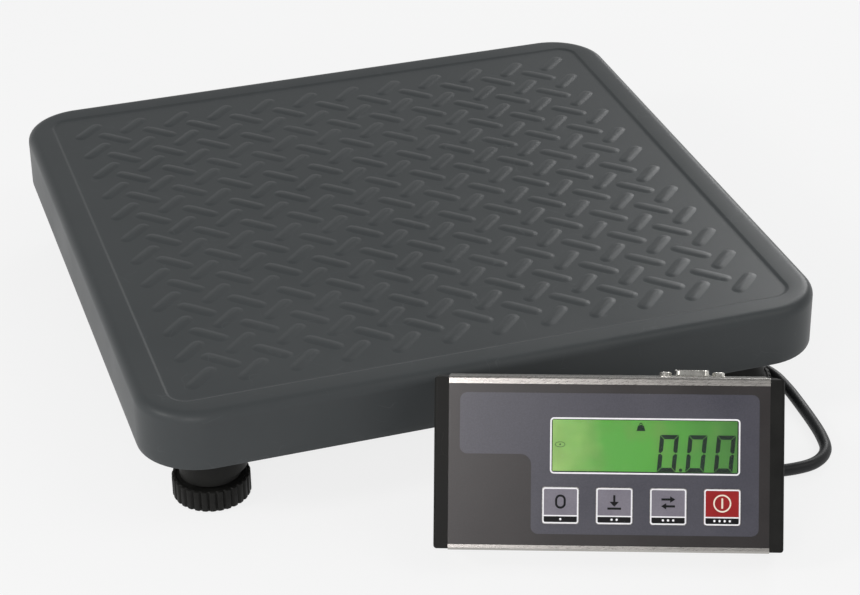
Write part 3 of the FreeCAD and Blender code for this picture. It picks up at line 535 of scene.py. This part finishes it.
# %% The indicator's printed film
add_finish(
    "panel_dark", (0.007, 0.005, 0.005), (0.012, 0.009, 0.009), rough=(0.32, 0.38), size=26, bump=1.2,
    grain=0.45, specular=0.55, speck=0.3,
)
FILM_BLUE = finish(
    "film_blue", (0.036, 0.036, 0.050), (0.048, 0.047, 0.062), rough=(0.32, 0.38), size=30, bump=1.2,
    grain=0.45, specular=0.55, speck=0.22,
)
add_finish(
    "key_grey", (0.150, 0.140, 0.170), (0.185, 0.173, 0.205), rough=(0.33, 0.40), size=14, bump=1.2,
    grain=0.45, specular=0.3, speck=0.12,
)
add_finish(
    "key_red", (0.250, 0.002, 0.003), (0.310, 0.004, 0.005), rough=(0.34, 0.42), size=12, bump=1.2,
    grain=0.45, specular=0.35,
)
INK = {"rough": (0.4, 0.5), "size": 7, "bump": 0.8, "grain": 0.4, "specular": 0.15}
INK_WHITE = finish("ink_white", (0.80, 0.79, 0.81), (0.88, 0.87, 0.89), **INK)
INK_BLACK = finish("ink_black", (0.003, 0.003, 0.004), (0.006, 0.006, 0.007), **INK)
INK_CREAM = finish("ink_cream", (0.78, 0.68, 0.56), (0.86, 0.76, 0.64), **INK)
print(len(FINISHES), "finishes by slot")


# %% [markdown]
# ## The lit display
#
# The liquid crystal glass is lit from behind and glows green. It is paler and yellower at the left and deeper
# in the middle and at the right: that fall from left to right is a painted sheen, the same one that lies
# across the indicator's face, put on top of its own glow. It is an emitter with three greens along the face
# and a warmer, cloudy one over them. The window over it is clear, so it keeps its own highlight.

# %% Display, window and level finishes
def lit_display():
    """Emission that goes from a pale to a deep and then a dark green along the face, with warm clouds; the
    pale left and the dark right are a painted sheen over the display's own glow.
    """
    material = bpy.data.materials.new("lcd_green")
    material.use_nodes = True
    tree = material.node_tree
    shader = tree.nodes["Principled BSDF"]
    where = put(tree, "ShaderNodeTexCoord").outputs["Object"]
    turned_to = put(tree, "ShaderNodeMapping", {"vector_type": "TEXTURE"}, Vector=where)
    turned_to.inputs["Location"].default_value = UNIT.translation
    turned_to.inputs["Rotation"].default_value = UNIT.to_euler()
    along = put(tree, "ShaderNodeSeparateXYZ", Vector=turned_to.outputs[0]).outputs[0]
    blur = noise(tree, where, 12 * MM, 2, 0.5).outputs[0]
    shifted = sums(tree, "MULTIPLY_ADD", blur, 22 * MM, along)
    # Painted sheen: the glow is paler and yellower at the left and darker towards the right.
    fade, end = spread(tree, shifted, 62 * MM, 92 * MM), spread(tree, shifted, 112 * MM, 154 * MM)
    painted_sheen_greens = blend(tree, fade, shade((0.38, 0.60, 0.17)), shade((0.085, 0.39, 0.040)))
    painted_sheen_to_dark_end = blend(tree, end, painted_sheen_greens, shade((0.045, 0.185, 0.024)))
    clouds = noise(tree, turned_to.outputs[0], 16 * MM, 2, 0.5).outputs[0]
    warm = blend(tree, spread(tree, clouds, 0.5, 0.75, 0, 0.6), painted_sheen_to_dark_end, shade((0.16, 0.31, 0.06)))
    tree.links.new(warm, shader.inputs["Emission Color"])
    base = use(tree, mottle, Where=where, Size=10 * MM,
               Dark=shade((0.008, 0.02, 0.005)), Light=shade((0.012, 0.03, 0.008)))
    tree.links.new(base.outputs[0], shader.inputs["Base Color"])
    tree.links.new(spread(tree, base.outputs[1], 0, 1, 0.3, 0.4), shader.inputs["Roughness"])
    shader.inputs["Emission Strength"].default_value = 0.92
    return material


def clear(name, tint, rough):
    """Clear acrylic with a faint film of fingerprints in its roughness."""
    material = bpy.data.materials.new(name)
    material.use_nodes = True
    tree = material.node_tree
    shader = tree.nodes["Principled BSDF"]
    where = put(tree, "ShaderNodeTexCoord").outputs["Object"]
    film = use(tree, mottle, Where=where, Size=9 * MM, Dark=shade(tint), Light=shade(tint))
    tree.links.new(film.outputs[0], shader.inputs["Base Color"])
    tree.links.new(spread(tree, film.outputs[1], 0, 1, *rough), shader.inputs["Roughness"])
    shader.inputs["Transmission Weight"].default_value = 1.0
    shader.inputs["IOR"].default_value = 1.46
    return material


FINISHES["lcd_green"] = lit_display()
FINISHES["lens_clear"] = clear("lens_clear", (0.97, 0.98, 0.96), (0.02, 0.06))
FINISHES["level_clear"] = clear("level_clear", (0.70, 0.90, 0.35), (0.03, 0.08))
add_finish(
    "backlight_white", (0.62, 0.72, 0.55), (0.72, 0.80, 0.64), rough=(0.5, 0.6), size=10, bump=1, grain=0.5,
)

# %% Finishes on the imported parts
slot_of = {part["node"]: part["material_slot"] for part in frame["record"]["subparts"]}
for label, node in frame["nodes"].items():
    for place in node.material_slots:
        place.link = "OBJECT"
        place.material = FINISHES[slot_of[label]]
lead.data.materials.append(FINISHES["lead_black"])
print("finished", len(slot_of), "packed parts")

# %% [markdown]
# ## The platform
#
# The platform is one pressed steel pan: a skirt, a five millimetre bend, a flat border, and a field pressed
# in by less than a millimetre. The rings below go from under the lip, up the skirt, over the bend and across
# to the middle, and then back under the sheet, so that it has its real thickness.

# %% The pan
HALF, CORNER, TOP, SKIRT, BEND, SHEET = 177.5, 32.0, 69.0, 38.0, 5.0, 2.0
FIELD_HALF, FIELD_CORNER, FIELD_LEVEL = 162.0, 10.0, 68.3
CORNER_STEPS = 14


def square_ring(inset, level, half=HALF, corner=CORNER):
    """One ring of the pan: a rounded square set in by inset, at a level."""
    path = oblong(-half, half, -half, half, corner, -inset, CORNER_STEPS)
    return np.column_stack([path, np.full(len(path), level)])


def pan():
    """The pan's rings: the rolled lip, the skirt, the outer bend as a quarter circle, the border, the soft
    step down to the field as half a cosine, the middle, and the inner face with its own smaller bend."""
    turn = np.linspace(0, math.pi / 2, 9)
    outer = [square_ring(0.7, SKIRT), square_ring(0.2, SKIRT + 0.2), square_ring(0, SKIRT + 0.7)]
    outer += [square_ring(0, level) for level in np.linspace(SKIRT + 4, TOP - BEND - 1, 4)]
    outer += [square_ring(BEND - BEND * math.cos(t), TOP - BEND + BEND * math.sin(t)) for t in turn]
    outer += [square_ring(BEND + 1.2, TOP)]
    ease = np.linspace(0, 1, 7)
    step = [
        square_ring(2.2 * (e - 0.5), TOP - (TOP - FIELD_LEVEL) * (0.5 - 0.5 * math.cos(math.pi * e)),
                    FIELD_HALF, FIELD_CORNER)
        for e in ease
    ]
    field = [square_ring(2.4, FIELD_LEVEL, FIELD_HALF, FIELD_CORNER)]
    middle = [square_ring(80, FIELD_LEVEL, FIELD_HALF, 90)]
    under = TOP - SHEET
    inner = [square_ring(SHEET + 60, under, HALF, 72)]
    bend = BEND - SHEET
    inner += [
        square_ring(SHEET + bend - bend * math.cos(t), under - bend + bend * math.sin(t)) for t in turn[::-1]
    ]
    inner += [square_ring(SHEET - 0.7 + back, SKIRT + up) for back, up in ((0.7, 0.7), (0.5, 0.2), (0, 0))]
    upper = skin(outer + step + field + middle, last=(0, 0, FIELD_LEVEL))
    lower = skin(inner, first=(0, 0, under))
    seam = skin([inner[-1], outer[0]])
    return [(points * MM, faces) for points, faces in (upper, lower, seam)]


platform = piece("platform_pan", pan(), FINISHES["paint_grey"], "cover", ["platform_cover"])
outwards(platform.data, weld=1e-6)
platform.data.shade_smooth()
platform.data.set_sharp_from_angle(angle=math.radians(40))

# %% [markdown]
# The treads are pressed bars, 20 by 5 mm, that lean one way and the other in turn. They could be an array of
# one object, but as one mesh they stay with the pan. Each bar is a soft lozenge of four rings and a crown.

# %% Tread bars
TREAD_PITCH, TREAD_FOOT, TREAD_RISE, TREAD_LONG, TREAD_WIDE = 26.0, -0.03, 0.53, 20.0, 5.0


def tread_shape(count=18):
    """One bar along x. Its outline is a stadium, |x| up to long / 2 with round ends; inner rings are set in
    and rise as a soft shoulder."""
    angle = np.arange(count) * TAU / count
    rings = []
    for inset, rise in ((-1.7, TREAD_FOOT), (-0.8, 0.07), (0.1, 0.3), (1.2, 0.48)):
        radius = TREAD_WIDE / 2 - inset
        shift = (TREAD_LONG - TREAD_WIDE) / 2 * np.tanh(6 * np.cos(angle))
        level = np.full(count, rise)
        rings.append(np.column_stack([shift + radius * np.cos(angle), radius * np.sin(angle), level]))
    return np.array(rings)


def treads():
    """The bar's rings repeated on two grids, one turned up by 45 degrees and one down, as one array."""
    shape = tread_shape()
    made = []
    for rows, slope in ((12, 1), (11, -1)):
        at = (np.arange(rows) - (rows - 1) / 2) * TREAD_PITCH
        turn = math.radians(45) * slope
        c, s = math.cos(turn), math.sin(turn)
        spin = np.array([[c, s, 0], [-s, c, 0], [0, 0, 1]])
        turned_bar = shape @ spin
        for x in at:
            for y in at:
                lift = np.array([x, y, FIELD_LEVEL])
                foot, crown = lift + (0, 0, TREAD_FOOT), lift + (0, 0, TREAD_RISE)
                made.append(skin((turned_bar + lift) * MM, foot * MM, crown * MM))
    return made


piece("tread_bars", treads(), FINISHES["paint_grey"], "cover", smooth_deg=60)

# %% [markdown]
# ## The feet
#
# Each levelling foot is a fluted plastic wheel moulded on a threaded stud, with a rubber pad below. The
# wheel's radius dips in thirty narrow grooves; the stud's radius follows a helix of 1.5 mm pitch, which is
# also how far the wheel travels in a turn.

# %% Wheels and studs
WHEEL_RADIUS, WHEEL_LOW, WHEEL_HIGH, FLUTES, FLUTE_DEPTH = 19.6, 1.0, 12.4, 30, 1.0
STUD_RADIUS, STUD_LOW, STUD_HIGH, PITCH = 5.0, 4.0, 38.0, 1.5


def wheel_rings():
    """Radius = rim - depth x (half + half cos 30a) to the fourth: flat ribs and narrow grooves. The grooves
    fade out where the rim is rounded and on the flat faces."""
    angle = np.arange(FLUTES * 12) * TAU / (FLUTES * 12)
    groove = (0.5 + 0.5 * np.cos(FLUTES * angle)) ** 4
    rows = [
        (-0.9, WHEEL_LOW, 0.6), (-0.3, WHEEL_LOW + 0.25, 0.9), (0, WHEEL_LOW + 0.9, 1), (0, 7.2, 1),
        (0, WHEEL_HIGH - 0.9, 1), (-0.25, WHEEL_HIGH - 0.3, 0.9), (-0.8, WHEEL_HIGH, 0.6),
        (-1.9, WHEEL_HIGH, 0), (-2.3, WHEEL_HIGH - 0.5, 0), (-10.2, WHEEL_HIGH - 0.5, 0),
        (-10.8, WHEEL_HIGH, 0), (STUD_RADIUS + 0.05 - WHEEL_RADIUS, WHEEL_HIGH, 0),
        (STUD_RADIUS + 0.05 - WHEEL_RADIUS, STUD_LOW, 0),
    ]
    rings = []
    for grow, level, depth in rows:
        radius = WHEEL_RADIUS + grow - FLUTE_DEPTH * depth * groove
        height = np.full(len(angle), level)
        rings.append(np.column_stack([radius * np.cos(angle), radius * np.sin(angle), height]))
    return np.array(rings)


def stud_rings(count=28, per_pitch=6):
    """Radius = r - depth x |saw(z / pitch - angle / turn)|, a triangular thread wound up the stud."""
    angle = np.arange(count) * TAU / count
    levels = np.arange(STUD_LOW, STUD_HIGH + 0.01, PITCH / per_pitch)
    z, a = np.meshgrid(levels, angle, indexing="ij")
    phase = (z / PITCH - a / TAU) % 1
    fade = np.clip(np.minimum(z - STUD_LOW, STUD_HIGH - z) / 1.0, 0, 1)
    radius = STUD_RADIUS - 0.02 - 0.75 * (1 - np.abs(2 * phase - 1)) * fade - 0.5 * (1 - fade)
    return np.stack([radius * np.cos(a), radius * np.sin(a), z], axis=-1)


for corner in ("front_left", "front_right", "back_left", "back_right"):
    low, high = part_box(f"foot_wheel_{corner}")
    centre = np.array([(low.x + high.x) / 2, (low.y + high.y) / 2, 0])
    wheel = wheel_rings() * MM + centre
    shell = skin(wheel, first=centre + (0, 0, WHEEL_LOW * MM), last=centre + (0, 0, STUD_LOW * MM))
    piece(f"wheel_{corner}", [shell], FINISHES["plastic_black"], f"foot_screw_{corner}",
          [f"foot_wheel_{corner}"])
    rod = stud_rings() * MM + centre
    shank = skin(rod, first=centre + (0, 0, STUD_LOW * MM), last=centre + (0, 0, STUD_HIGH * MM))
    piece(f"thread_{corner}", [shank], FINISHES["steel_zinc"], f"foot_screw_{corner}",
          [f"foot_stud_{corner}"], smooth_deg=50)

# %% [markdown]
# ## Lead fittings
#
# Where the lead leaves each gland a short ribbed sleeve spreads the bend. It follows the lead's own line, so
# it bends with it. The lead ends in the object again.


# %% Sleeves on the lead
def sleeve(line, thick, thin, ribs):
    """A tube round a line: at each point the radius goes from thick to thin, with ribs as a cosine."""
    ahead = np.gradient(line, axis=0)
    ahead /= np.linalg.norm(ahead, axis=1, keepdims=True)
    side = np.cross(ahead, (0.3, 0.2, 0.93))
    side /= np.linalg.norm(side, axis=1, keepdims=True)
    other = np.cross(ahead, side)
    along = np.linspace(0, 1, len(line))
    radius = thick + (thin - thick) * along + 0.00022 * np.cos(TAU * ribs * along)
    angle = np.arange(24) * TAU / 24
    spokes = side[:, None] * np.cos(angle)[None, :, None] + other[:, None] * np.sin(angle)[None, :, None]
    return skin(line[:, None] + spokes * radius[:, None, None], first=line[0], last=line[-1])


def stretch(line, long, count):
    """The first long metres of a line as count evenly spaced points."""
    run = np.concatenate([[0], np.cumsum(np.linalg.norm(np.diff(line, axis=0), axis=1))])
    at = np.linspace(0, long, count)
    return np.stack([np.interp(at, run, line[:, k]) for k in range(3)], axis=1)


RUBBER = FINISHES["rubber_black"]
base_end, unit_end = stretch(LEAD_LINE, 0.020, 46), stretch(LEAD_LINE[::-1], 0.016, 40)
base_sleeve = piece("base_sleeve", [sleeve(base_end, 0.0053, 0.0037, 6)], RUBBER, "base")
unit_sleeve = piece("unit_sleeve", [sleeve(unit_end, 0.0050, 0.0037, 5)], RUBBER, "base")

# %% The lead as a cord
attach(lead, "base")
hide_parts("lead_to_base", "lead_coil", "lead_to_indicator")

# %% [markdown]
# ## The indicator's face
#
# The face is a printed film: a dark ground, a blue-grey field in the shape of an L, white lines round the
# display and the keys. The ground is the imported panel; the rest is printed ink, made as plates a few
# hundredths of a millimetre proud so that their edges stay sharp in any view.

# %% The blue field
PRINT_FRONT, PRINT_BACK = 0.34, 0.42
WINDOW = (55.1, 142.7, 37, 62.2)
KEY_LEFT, KEY_PITCH, KEY_SIDE, KEY_LOW = 51.1, 25.2, 16.9, 13.0
FILM_LEFT, FILM_RIGHT, FILM_LOW, FILM_HIGH, FILM_ROUND = 12.1, 152.2, 8.0, 74.2, 3.4
STEP_X, STEP_Z, BAND_TOP, SQUARE = 45.7, 45.4, 33.3, 0.01


def blue_field():
    """The L as a frame round the display, six corners outside and six inside, and below it one frame round
    each key. A frame's hole lets the window or the key through."""
    left, right, low, high = WINDOW
    outer = outline(
        [(STEP_X, BAND_TOP), (FILM_RIGHT, BAND_TOP), (FILM_RIGHT, FILM_HIGH), (FILM_LEFT, FILM_HIGH),
         (FILM_LEFT, STEP_Z), (STEP_X, STEP_Z)],
        [SQUARE, SQUARE, FILM_ROUND, FILM_ROUND, FILM_ROUND, 5.0],
    )
    hole = outline(
        [(left, low), (right, low), (right, high), (left, high), (left, 52), (left, 46)], [1.2] * 4 + [1, 1]
    )
    front, back = PRINT_FRONT + 0.03, PRINT_BACK
    made = [face_ring(outer, hole, front, back)]
    between = [KEY_LEFT + KEY_PITCH * n - (KEY_PITCH - KEY_SIDE) / 2 for n in (1, 2, 3)]
    edges = [STEP_X, *between, FILM_RIGHT]
    for n in range(4):
        key = KEY_LEFT + KEY_PITCH * n
        soft = [FILM_ROUND if n == 0 else SQUARE, FILM_ROUND if n == 3 else SQUARE, SQUARE, SQUARE]
        west, east = edges[n], edges[n + 1]
        cell = outline([(west, FILM_LOW), (east, FILM_LOW), (east, BAND_TOP), (west, BAND_TOP)], soft)
        gap = oblong(key, key + KEY_SIDE, KEY_LOW, KEY_LOW + KEY_SIDE, 1.0, 0.25)
        made.append(face_ring(cell, gap, front, back))
    return made


piece("film_field", blue_field(), FILM_BLUE, "base")

# %% White lines
lines = [face_ring(oblong(*WINDOW, 1.2, 0.62), oblong(*WINDOW, 1.2, -0.12), PRINT_FRONT, PRINT_BACK)]
piece("window_line", lines, INK_WHITE, "base")

# %% [markdown]
# Each key is a square of film over a dome. A white line runs round it and above its dark strip, with a plain
# symbol on the square and a count of dots on the strip. These plates ride on the key, so they go in with it.


# %% Key print
def bar(left, right, low, high, front, back):
    """A plain printed bar with slightly rounded corners."""
    return face_plate(oblong(left, right, low, high, 0.12, 0, 2), front, back)


KEY_FRONT, KEY_BACK, STROKE = 0.04, 0.11, 1.0
STRIP_HIGH, DOT_LEVEL, DOT_PITCH, SYMBOL_LEVEL = 16.5, 15.1, 2.4, 23.3


def zero_symbol(x, z):
    """A plain zero."""
    tall = oblong(x - 2.5, x + 2.5, z - 3.3, z + 3.3, 2.4)
    hollow = oblong(x - 2.5, x + 2.5, z - 3.3, z + 3.3, 2.4, -STROKE)
    return [face_ring(tall, hollow, KEY_FRONT, KEY_BACK)]


def tare_symbol(x, z):
    """An arrow down onto a tray."""
    return [
        bar(x - STROKE / 2, x + STROKE / 2, z - 0.6, z + 3.3, KEY_FRONT, KEY_BACK),
        face_plate([(x - 2.2, z + 0.2), (x, z - 2.1), (x + 2.2, z + 0.2)], KEY_FRONT - 0.004, KEY_BACK),
        bar(x - 3.2, x + 3.2, z - 3.5, z - 3.5 + STROKE, KEY_FRONT, KEY_BACK),
    ]


def unit_symbol(x, z):
    """Two arrows that point opposite ways, for changing over."""
    made = []
    for way, level in ((1, 1.6), (-1, -1.6)):
        tail, neck, tip = x - 3.2 * way, x + 1.2 * way, x + 3.3 * way
        low, high = z + level - STROKE / 2, z + level + STROKE / 2
        made.append(bar(min(tail, neck), max(tail, neck), low, high, KEY_FRONT, KEY_BACK))
        head = [(x + 0.9 * way, z + level - 1.5), (tip, z + level), (x + 0.9 * way, z + level + 1.5)]
        made.append(face_plate(head[::way], KEY_FRONT - 0.004, KEY_BACK))
    return made


def power_symbol(x, z):
    """A ring with an upright bar in it."""
    return [
        face_ring(circle(4.2, 40, (x, z)), circle(3.5, 40, (x, z)), KEY_FRONT, KEY_BACK),
        bar(x - 0.42, x + 0.42, z - 2.4, z + 2.4, KEY_FRONT, KEY_BACK),
    ]


keys = [
    ("zero", zero_symbol, INK_BLACK), ("tare", tare_symbol, INK_BLACK), ("unit", unit_symbol, INK_BLACK),
    ("power", power_symbol, INK_CREAM),
]
for number, (label, symbol, ink) in enumerate(keys):
    left = KEY_LEFT + KEY_PITCH * number
    right, high, body = left + KEY_SIDE, KEY_LOW + KEY_SIDE, f"key_{label}"
    middle = left + KEY_SIDE / 2
    rim = face_ring(
        oblong(left, right, KEY_LOW, high, 1.3, -0.02), oblong(left, right, KEY_LOW, high, 1.3, -0.68),
        KEY_FRONT, KEY_BACK,
    )
    divider = bar(left + 0.5, right - 0.5, STRIP_HIGH - 0.1, STRIP_HIGH + 0.5, KEY_FRONT + 0.002, KEY_BACK)
    piece(f"key_line_{label}", [rim, divider], INK_WHITE, body)
    strip = bar(left + 0.6, right - 0.6, KEY_LOW + 0.6, STRIP_HIGH, KEY_FRONT + 0.015, KEY_BACK)
    piece(f"key_strip_{label}", [strip], INK_BLACK, body)
    at = middle + DOT_PITCH * (np.arange(number + 1) - number / 2)
    dots = [face_plate(circle(0.55, 14, (x, DOT_LEVEL)), KEY_FRONT, KEY_BACK) for x in at]
    piece(f"key_dots_{label}", dots, INK_WHITE, body)
    piece(f"key_symbol_{label}", symbol(middle, SYMBOL_LEVEL), ink, body)

# %% [markdown]
# ## What the display shows
#
# The digits are dark segments between the window and the glass, a little slanted: a zero reading with two
# decimals, a ring that says the load is steady, and a small weight as the unit's mark.


# %% Segments
GLASS_FRONT, GLASS_BACK = 3.07, 3.18
INK_GLASS = finish(
    "ink_glass", (0.004, 0.026, 0.014), (0.006, 0.034, 0.018), rough=(0.4, 0.5), size=6, bump=0.5, grain=0.5,
    specular=0.1,
)
SLANT, DIGIT_WIDE, DIGIT_HIGH, SEGMENT, SEGMENT_GAP = math.tan(math.radians(5.2)), 8.8, 17.4, 2.0, 0.17


def zero_digit(left, low):
    """The six lit segments of a zero: mitred where they meet at the corners, pointed at the middle."""
    w, h, t, g = DIGIT_WIDE, DIGIT_HIGH, SEGMENT, SEGMENT_GAP
    level = [(g, h), (w - g, h), (w - t - g, h - t), (t + g, h - t)]
    upright = [(0, h - g), (t, h - t - g), (t, h / 2 + t / 2 + g), (t / 2, h / 2 + g), (0, h / 2 + 0.5)]
    flats = [np.array(level), np.array(level) * (1, -1) + (0, h)]
    sides = [np.array(upright), np.array(upright) * (1, -1) + (0, h)]
    sides += [side * (-1, 1) + (w, 0) for side in sides]
    slanted = np.array([[1, 0], [SLANT, 1]])
    return [
        face_plate(shape @ slanted + (left, low), GLASS_FRONT, GLASS_BACK) for shape in flats + sides
    ]


READING_LEFT, READING_LOW, DIGIT_PITCH = 104.5, 37.6, 13.3
POINT_AT, STEADY_AT, WEIGHT_AT = (115.7, 38.5), (59.2, 50), (97, 59.8)

reading = [part for n in range(3) for part in zero_digit(READING_LEFT + DIGIT_PITCH * n, READING_LOW)]
reading.append(face_plate(circle(0.8, 20, POINT_AT), GLASS_FRONT, GLASS_BACK))
steady, hollow = (circle(1, 48) * reach + STEADY_AT for reach in ((2.4, 1.3), (2.15, 1.08)))
reading.append(face_ring(steady, hollow, GLASS_FRONT, GLASS_BACK))
reading.append(face_plate(circle(0.4, 14, STEADY_AT), GLASS_FRONT, GLASS_BACK))
weight = np.array([(-2.1, -3.1), (2.1, -3.1), (1.3, -0.5), (-1.3, -0.5)]) + WEIGHT_AT
reading.append(face_plate(weight, GLASS_FRONT, GLASS_BACK))
reading.append(face_ring(circle(0.75, 20, WEIGHT_AT), circle(0.36, 20, WEIGHT_AT), GLASS_FRONT, GLASS_BACK))
piece("display_reading", reading, INK_GLASS, "base")

# A dark line round the inside of the window, on the glass: painted shade, where the window's wall shades the
# edge of the display.
window_shade_line = face_ring(oblong(*WINDOW, 0.8, 0.1), oblong(*WINDOW, 0.8, -0.55), GLASS_FRONT + 0.02, GLASS_BACK)
piece("display_window_shade", [window_shade_line], INK_GLASS, "base")

# %% [markdown]
# ## The serial socket
#
# A nine-way socket stands on the housing's top wall: a drawn metal shell with a D outline, a moulded insert
# with nine contacts, and a jackscrew at each side. The shell is one skin from the flange up over its rim and
# down inside.

# %% Socket shell, insert, contacts and jackscrews
SOCKET_X, SOCKET_Y, JACK_PITCH = 121.5, 15.0, 25.0


def upright(rows, first=None, last=None):
    """Outlines on the top wall, each at its own height, as a skin in the indicator's frame."""
    rings = [np.column_stack([path, np.full(len(path), UNIT_HEIGHT + level)]) for path, level in rows]
    middle = rings[0].mean(axis=0)[:2]
    ends = [None if level is None else (*middle, UNIT_HEIGHT + level) for level in (first, last)]
    points, faces = skin(rings, *ends)
    return on_unit(points), faces


def d_path(half_wide, half_deep, radius, grow=0.0):
    """An oblong that widens towards the back by a sixtieth of its width per millimetre."""
    path = oblong(-half_wide, half_wide, -half_deep, half_deep, radius, grow, 5)
    return np.column_stack([SOCKET_X + path[:, 0] * (1 + 0.0165 * path[:, 1]), SOCKET_Y + path[:, 1]])


def hexagon(reach, middle, count=48, round_to=None):
    """Half the width across flats over the cosine to the nearest flat, held in by a circle."""
    angle = np.arange(count) * TAU / count
    radius = reach / np.cos((angle % (TAU / 6)) - TAU / 12)
    radius = np.minimum(radius, round_to or 10)
    return np.stack([middle[0] + radius * np.cos(angle), middle[1] + radius * np.sin(angle)], axis=1)


FLANGE = (SOCKET_X - 15.4, SOCKET_X + 15.4, SOCKET_Y - 6.2, SOCKET_Y + 6.2, 1.4)
plate, plate_in = oblong(*FLANGE, 0, 5), oblong(*FLANGE, -0.15, 5)
wall, inside = (7.95, 4.2, 1.9), (7.45, 3.7, 1.5)
shell = upright(
    [
        (plate, 0.02), (plate, 0.38), (plate_in, 0.5), (d_path(*wall, 0.7), 0.52), (d_path(*wall, 0.2), 0.75),
        (d_path(*wall), 1.1), (d_path(*wall), 2.7), (d_path(*wall, -0.15), 3.0), (d_path(*wall, -0.3), 3.08),
        (d_path(*inside, 0.02), 2.9), (d_path(*inside), 0.55),
    ],
    0.02, 0.55,
)
piece("socket_shell", [shell], FINISHES["socket_metal"], "base", ["serial_shell"])
insert = upright(
    [(d_path(*inside, -0.04), 0.6), (d_path(*inside, -0.04), 2.3), (d_path(*inside, -0.25), 2.45)], 0.6, 2.45
)
piece("socket_insert", [insert], FINISHES["plastic_black"], "base", ["serial_insert"])
spots = [(SOCKET_X + 2.77 * (n - 2), SOCKET_Y + 1.42) for n in range(5)]
spots += [(SOCKET_X + 2.77 * (n - 1.5), SOCKET_Y - 1.42) for n in range(4)]
contacts = [
    upright([(circle(0.75, 16, s), 2.4), (circle(0.75, 16, s), 2.6), (circle(0.5, 16, s), 2.65),
             (circle(0.45, 16, s), 2.48)], 2.4, 2.48)
    for s in spots
]
piece("socket_contacts", contacts, FINISHES["brass_insert"], "base")
jacks = []
for side in (-1, 1):
    at = (SOCKET_X + side * JACK_PITCH / 2, SOCKET_Y)
    jacks.append(upright(
        [
            (hexagon(2.5, at), 0.5), (hexagon(2.5, at), 1.7), (hexagon(2.5, at, round_to=2.55), 2.0),
            (circle(2.2, 48, at), 2.18), (circle(1.5, 48, at), 2.18), (circle(1.25, 48, at), 2.0),
            (circle(1.25, 48, at), 0.9),
        ],
        0.5, 0.9,
    ))
piece("jackscrews", jacks, FINISHES["socket_metal"], "base", ["serial_jackscrews"])

# %% [markdown]
# ## Stage and light
#
# The object stands on a pale seamless floor. The light is plain and soft: one wide lamp above on the right,
# a small one on the left that draws a glint along the bends, a small one in front that puts a sheen on the
# film, and one behind on the right that brings out the paint's gloss. The floor and the world show white to
# the camera, to reflections and through glass; the floor keeps a soft shadow. For reflections the white
# darkens towards the ceiling, as a studio's does, which gives metal its contrast.

# %% What the camera sees and what lights the object
WHITE = 0.935


def straight_rays(tree):
    """1 for a ray from the camera, a reflection or glass and 0 for one that carries light; and 1 for a
    reflection alone."""
    rays = put(tree, "ShaderNodeLightPath")
    glossy = rays.outputs["Is Glossy Ray"]
    seen = sums(tree, "MAXIMUM", rays.outputs["Is Camera Ray"], glossy)
    return sums(tree, "MAXIMUM", seen, rays.outputs["Is Transmission Ray"]), glossy


def show(tree, share, lit, white, output):
    """Mixes the surface that lights the object with the white one, and links the mix to the output."""
    mixed = put(tree, "ShaderNodeMixShader", s0=share, s1=lit.outputs[0], s2=white.outputs[0])
    tree.links.new(mixed.outputs[0], tree.nodes[output].inputs["Surface"])


# %% Floor
floor_mesh = bpy.data.meshes.new("floor")
floor_mesh.from_pydata([(-9, -9, 0), (9, -9, 0), (9, 9, 0), (-9, 9, 0)], [], [(0, 1, 2, 3)])
floor = bpy.data.objects.new("floor", floor_mesh)
bpy.context.scene.collection.objects.link(floor)

ground = bpy.data.materials.new("ground")
ground.use_nodes = True
tree = ground.node_tree
tree.nodes.remove(tree.nodes["Principled BSDF"])
seen, _ = straight_rays(tree)
matt = put(tree, "ShaderNodeBsdfDiffuse", Color=(0.9, 0.9, 0.9, 1))
glow = put(tree, "ShaderNodeEmission", Color=(WHITE, WHITE, WHITE, 1), Strength=1.0)
show(tree, sums(tree, "MULTIPLY", seen, 0.88), matt, glow, "Material Output")
floor_mesh.materials.append(ground)

# %% World
world = bpy.data.worlds.new("studio")
bpy.context.scene.world = world
world.use_nodes = True
tree = world.node_tree
seen, glossy = straight_rays(tree)
room = put(tree, "ShaderNodeBackground", Color=(0.96, 0.98, 1.0, 1), Strength=0.42)
direction = put(tree, "ShaderNodeTexCoord").outputs["Generated"]
upward = put(tree, "ShaderNodeSeparateXYZ", Vector=direction).outputs[2]
dimmed = spread(tree, upward, 0.05, 0.5, 1.0, 0.3)
level = put(tree, "ShaderNodeMix", {"data_type": "FLOAT"}, s0=glossy, s2=1.0, s3=dimmed)
white = put(tree, "ShaderNodeBackground", Color=(WHITE, WHITE, WHITE, 1), Strength=level.outputs[0])
show(tree, seen, room, white, "World Output")


# %% Lamps
def lamp(name, place, aim, size, watts, colour):
    """A rectangular soft lamp that faces a point."""
    light = bpy.data.lights.new(name, "AREA")
    light.shape, light.size, light.size_y = "RECTANGLE", size[0], size[1]
    light.energy, light.color = watts, colour
    made = bpy.data.objects.new(name, light)
    bpy.context.scene.collection.objects.link(made)
    away = Vector(place) - Vector(aim)
    made.matrix_world = Matrix.Translation(place) @ away.to_track_quat("Z", "Y").to_matrix().to_4x4()
    made.visible_camera = False
    return made


lamp("key", (0.9, -0.8, 1.4), (0, 0, 0), (1.0, 1.0), 6, (1.0, 0.985, 0.96))
lamp("left", (-1.5, -0.35, 1.0), (0, 0, 0), (0.4, 0.35), 10, (1.0, 0.99, 0.97))
lamp("front", (-0.51, -0.90, 0.52), (-0.03, -0.21, 0.08), (0.25, 0.25), 2.8, (1.0, 0.96, 0.96))
lamp("back", (1.1, 1.05, 0.72), (0.1, 0, 0), (0.6, 0.5), 8, (1, 1, 1))
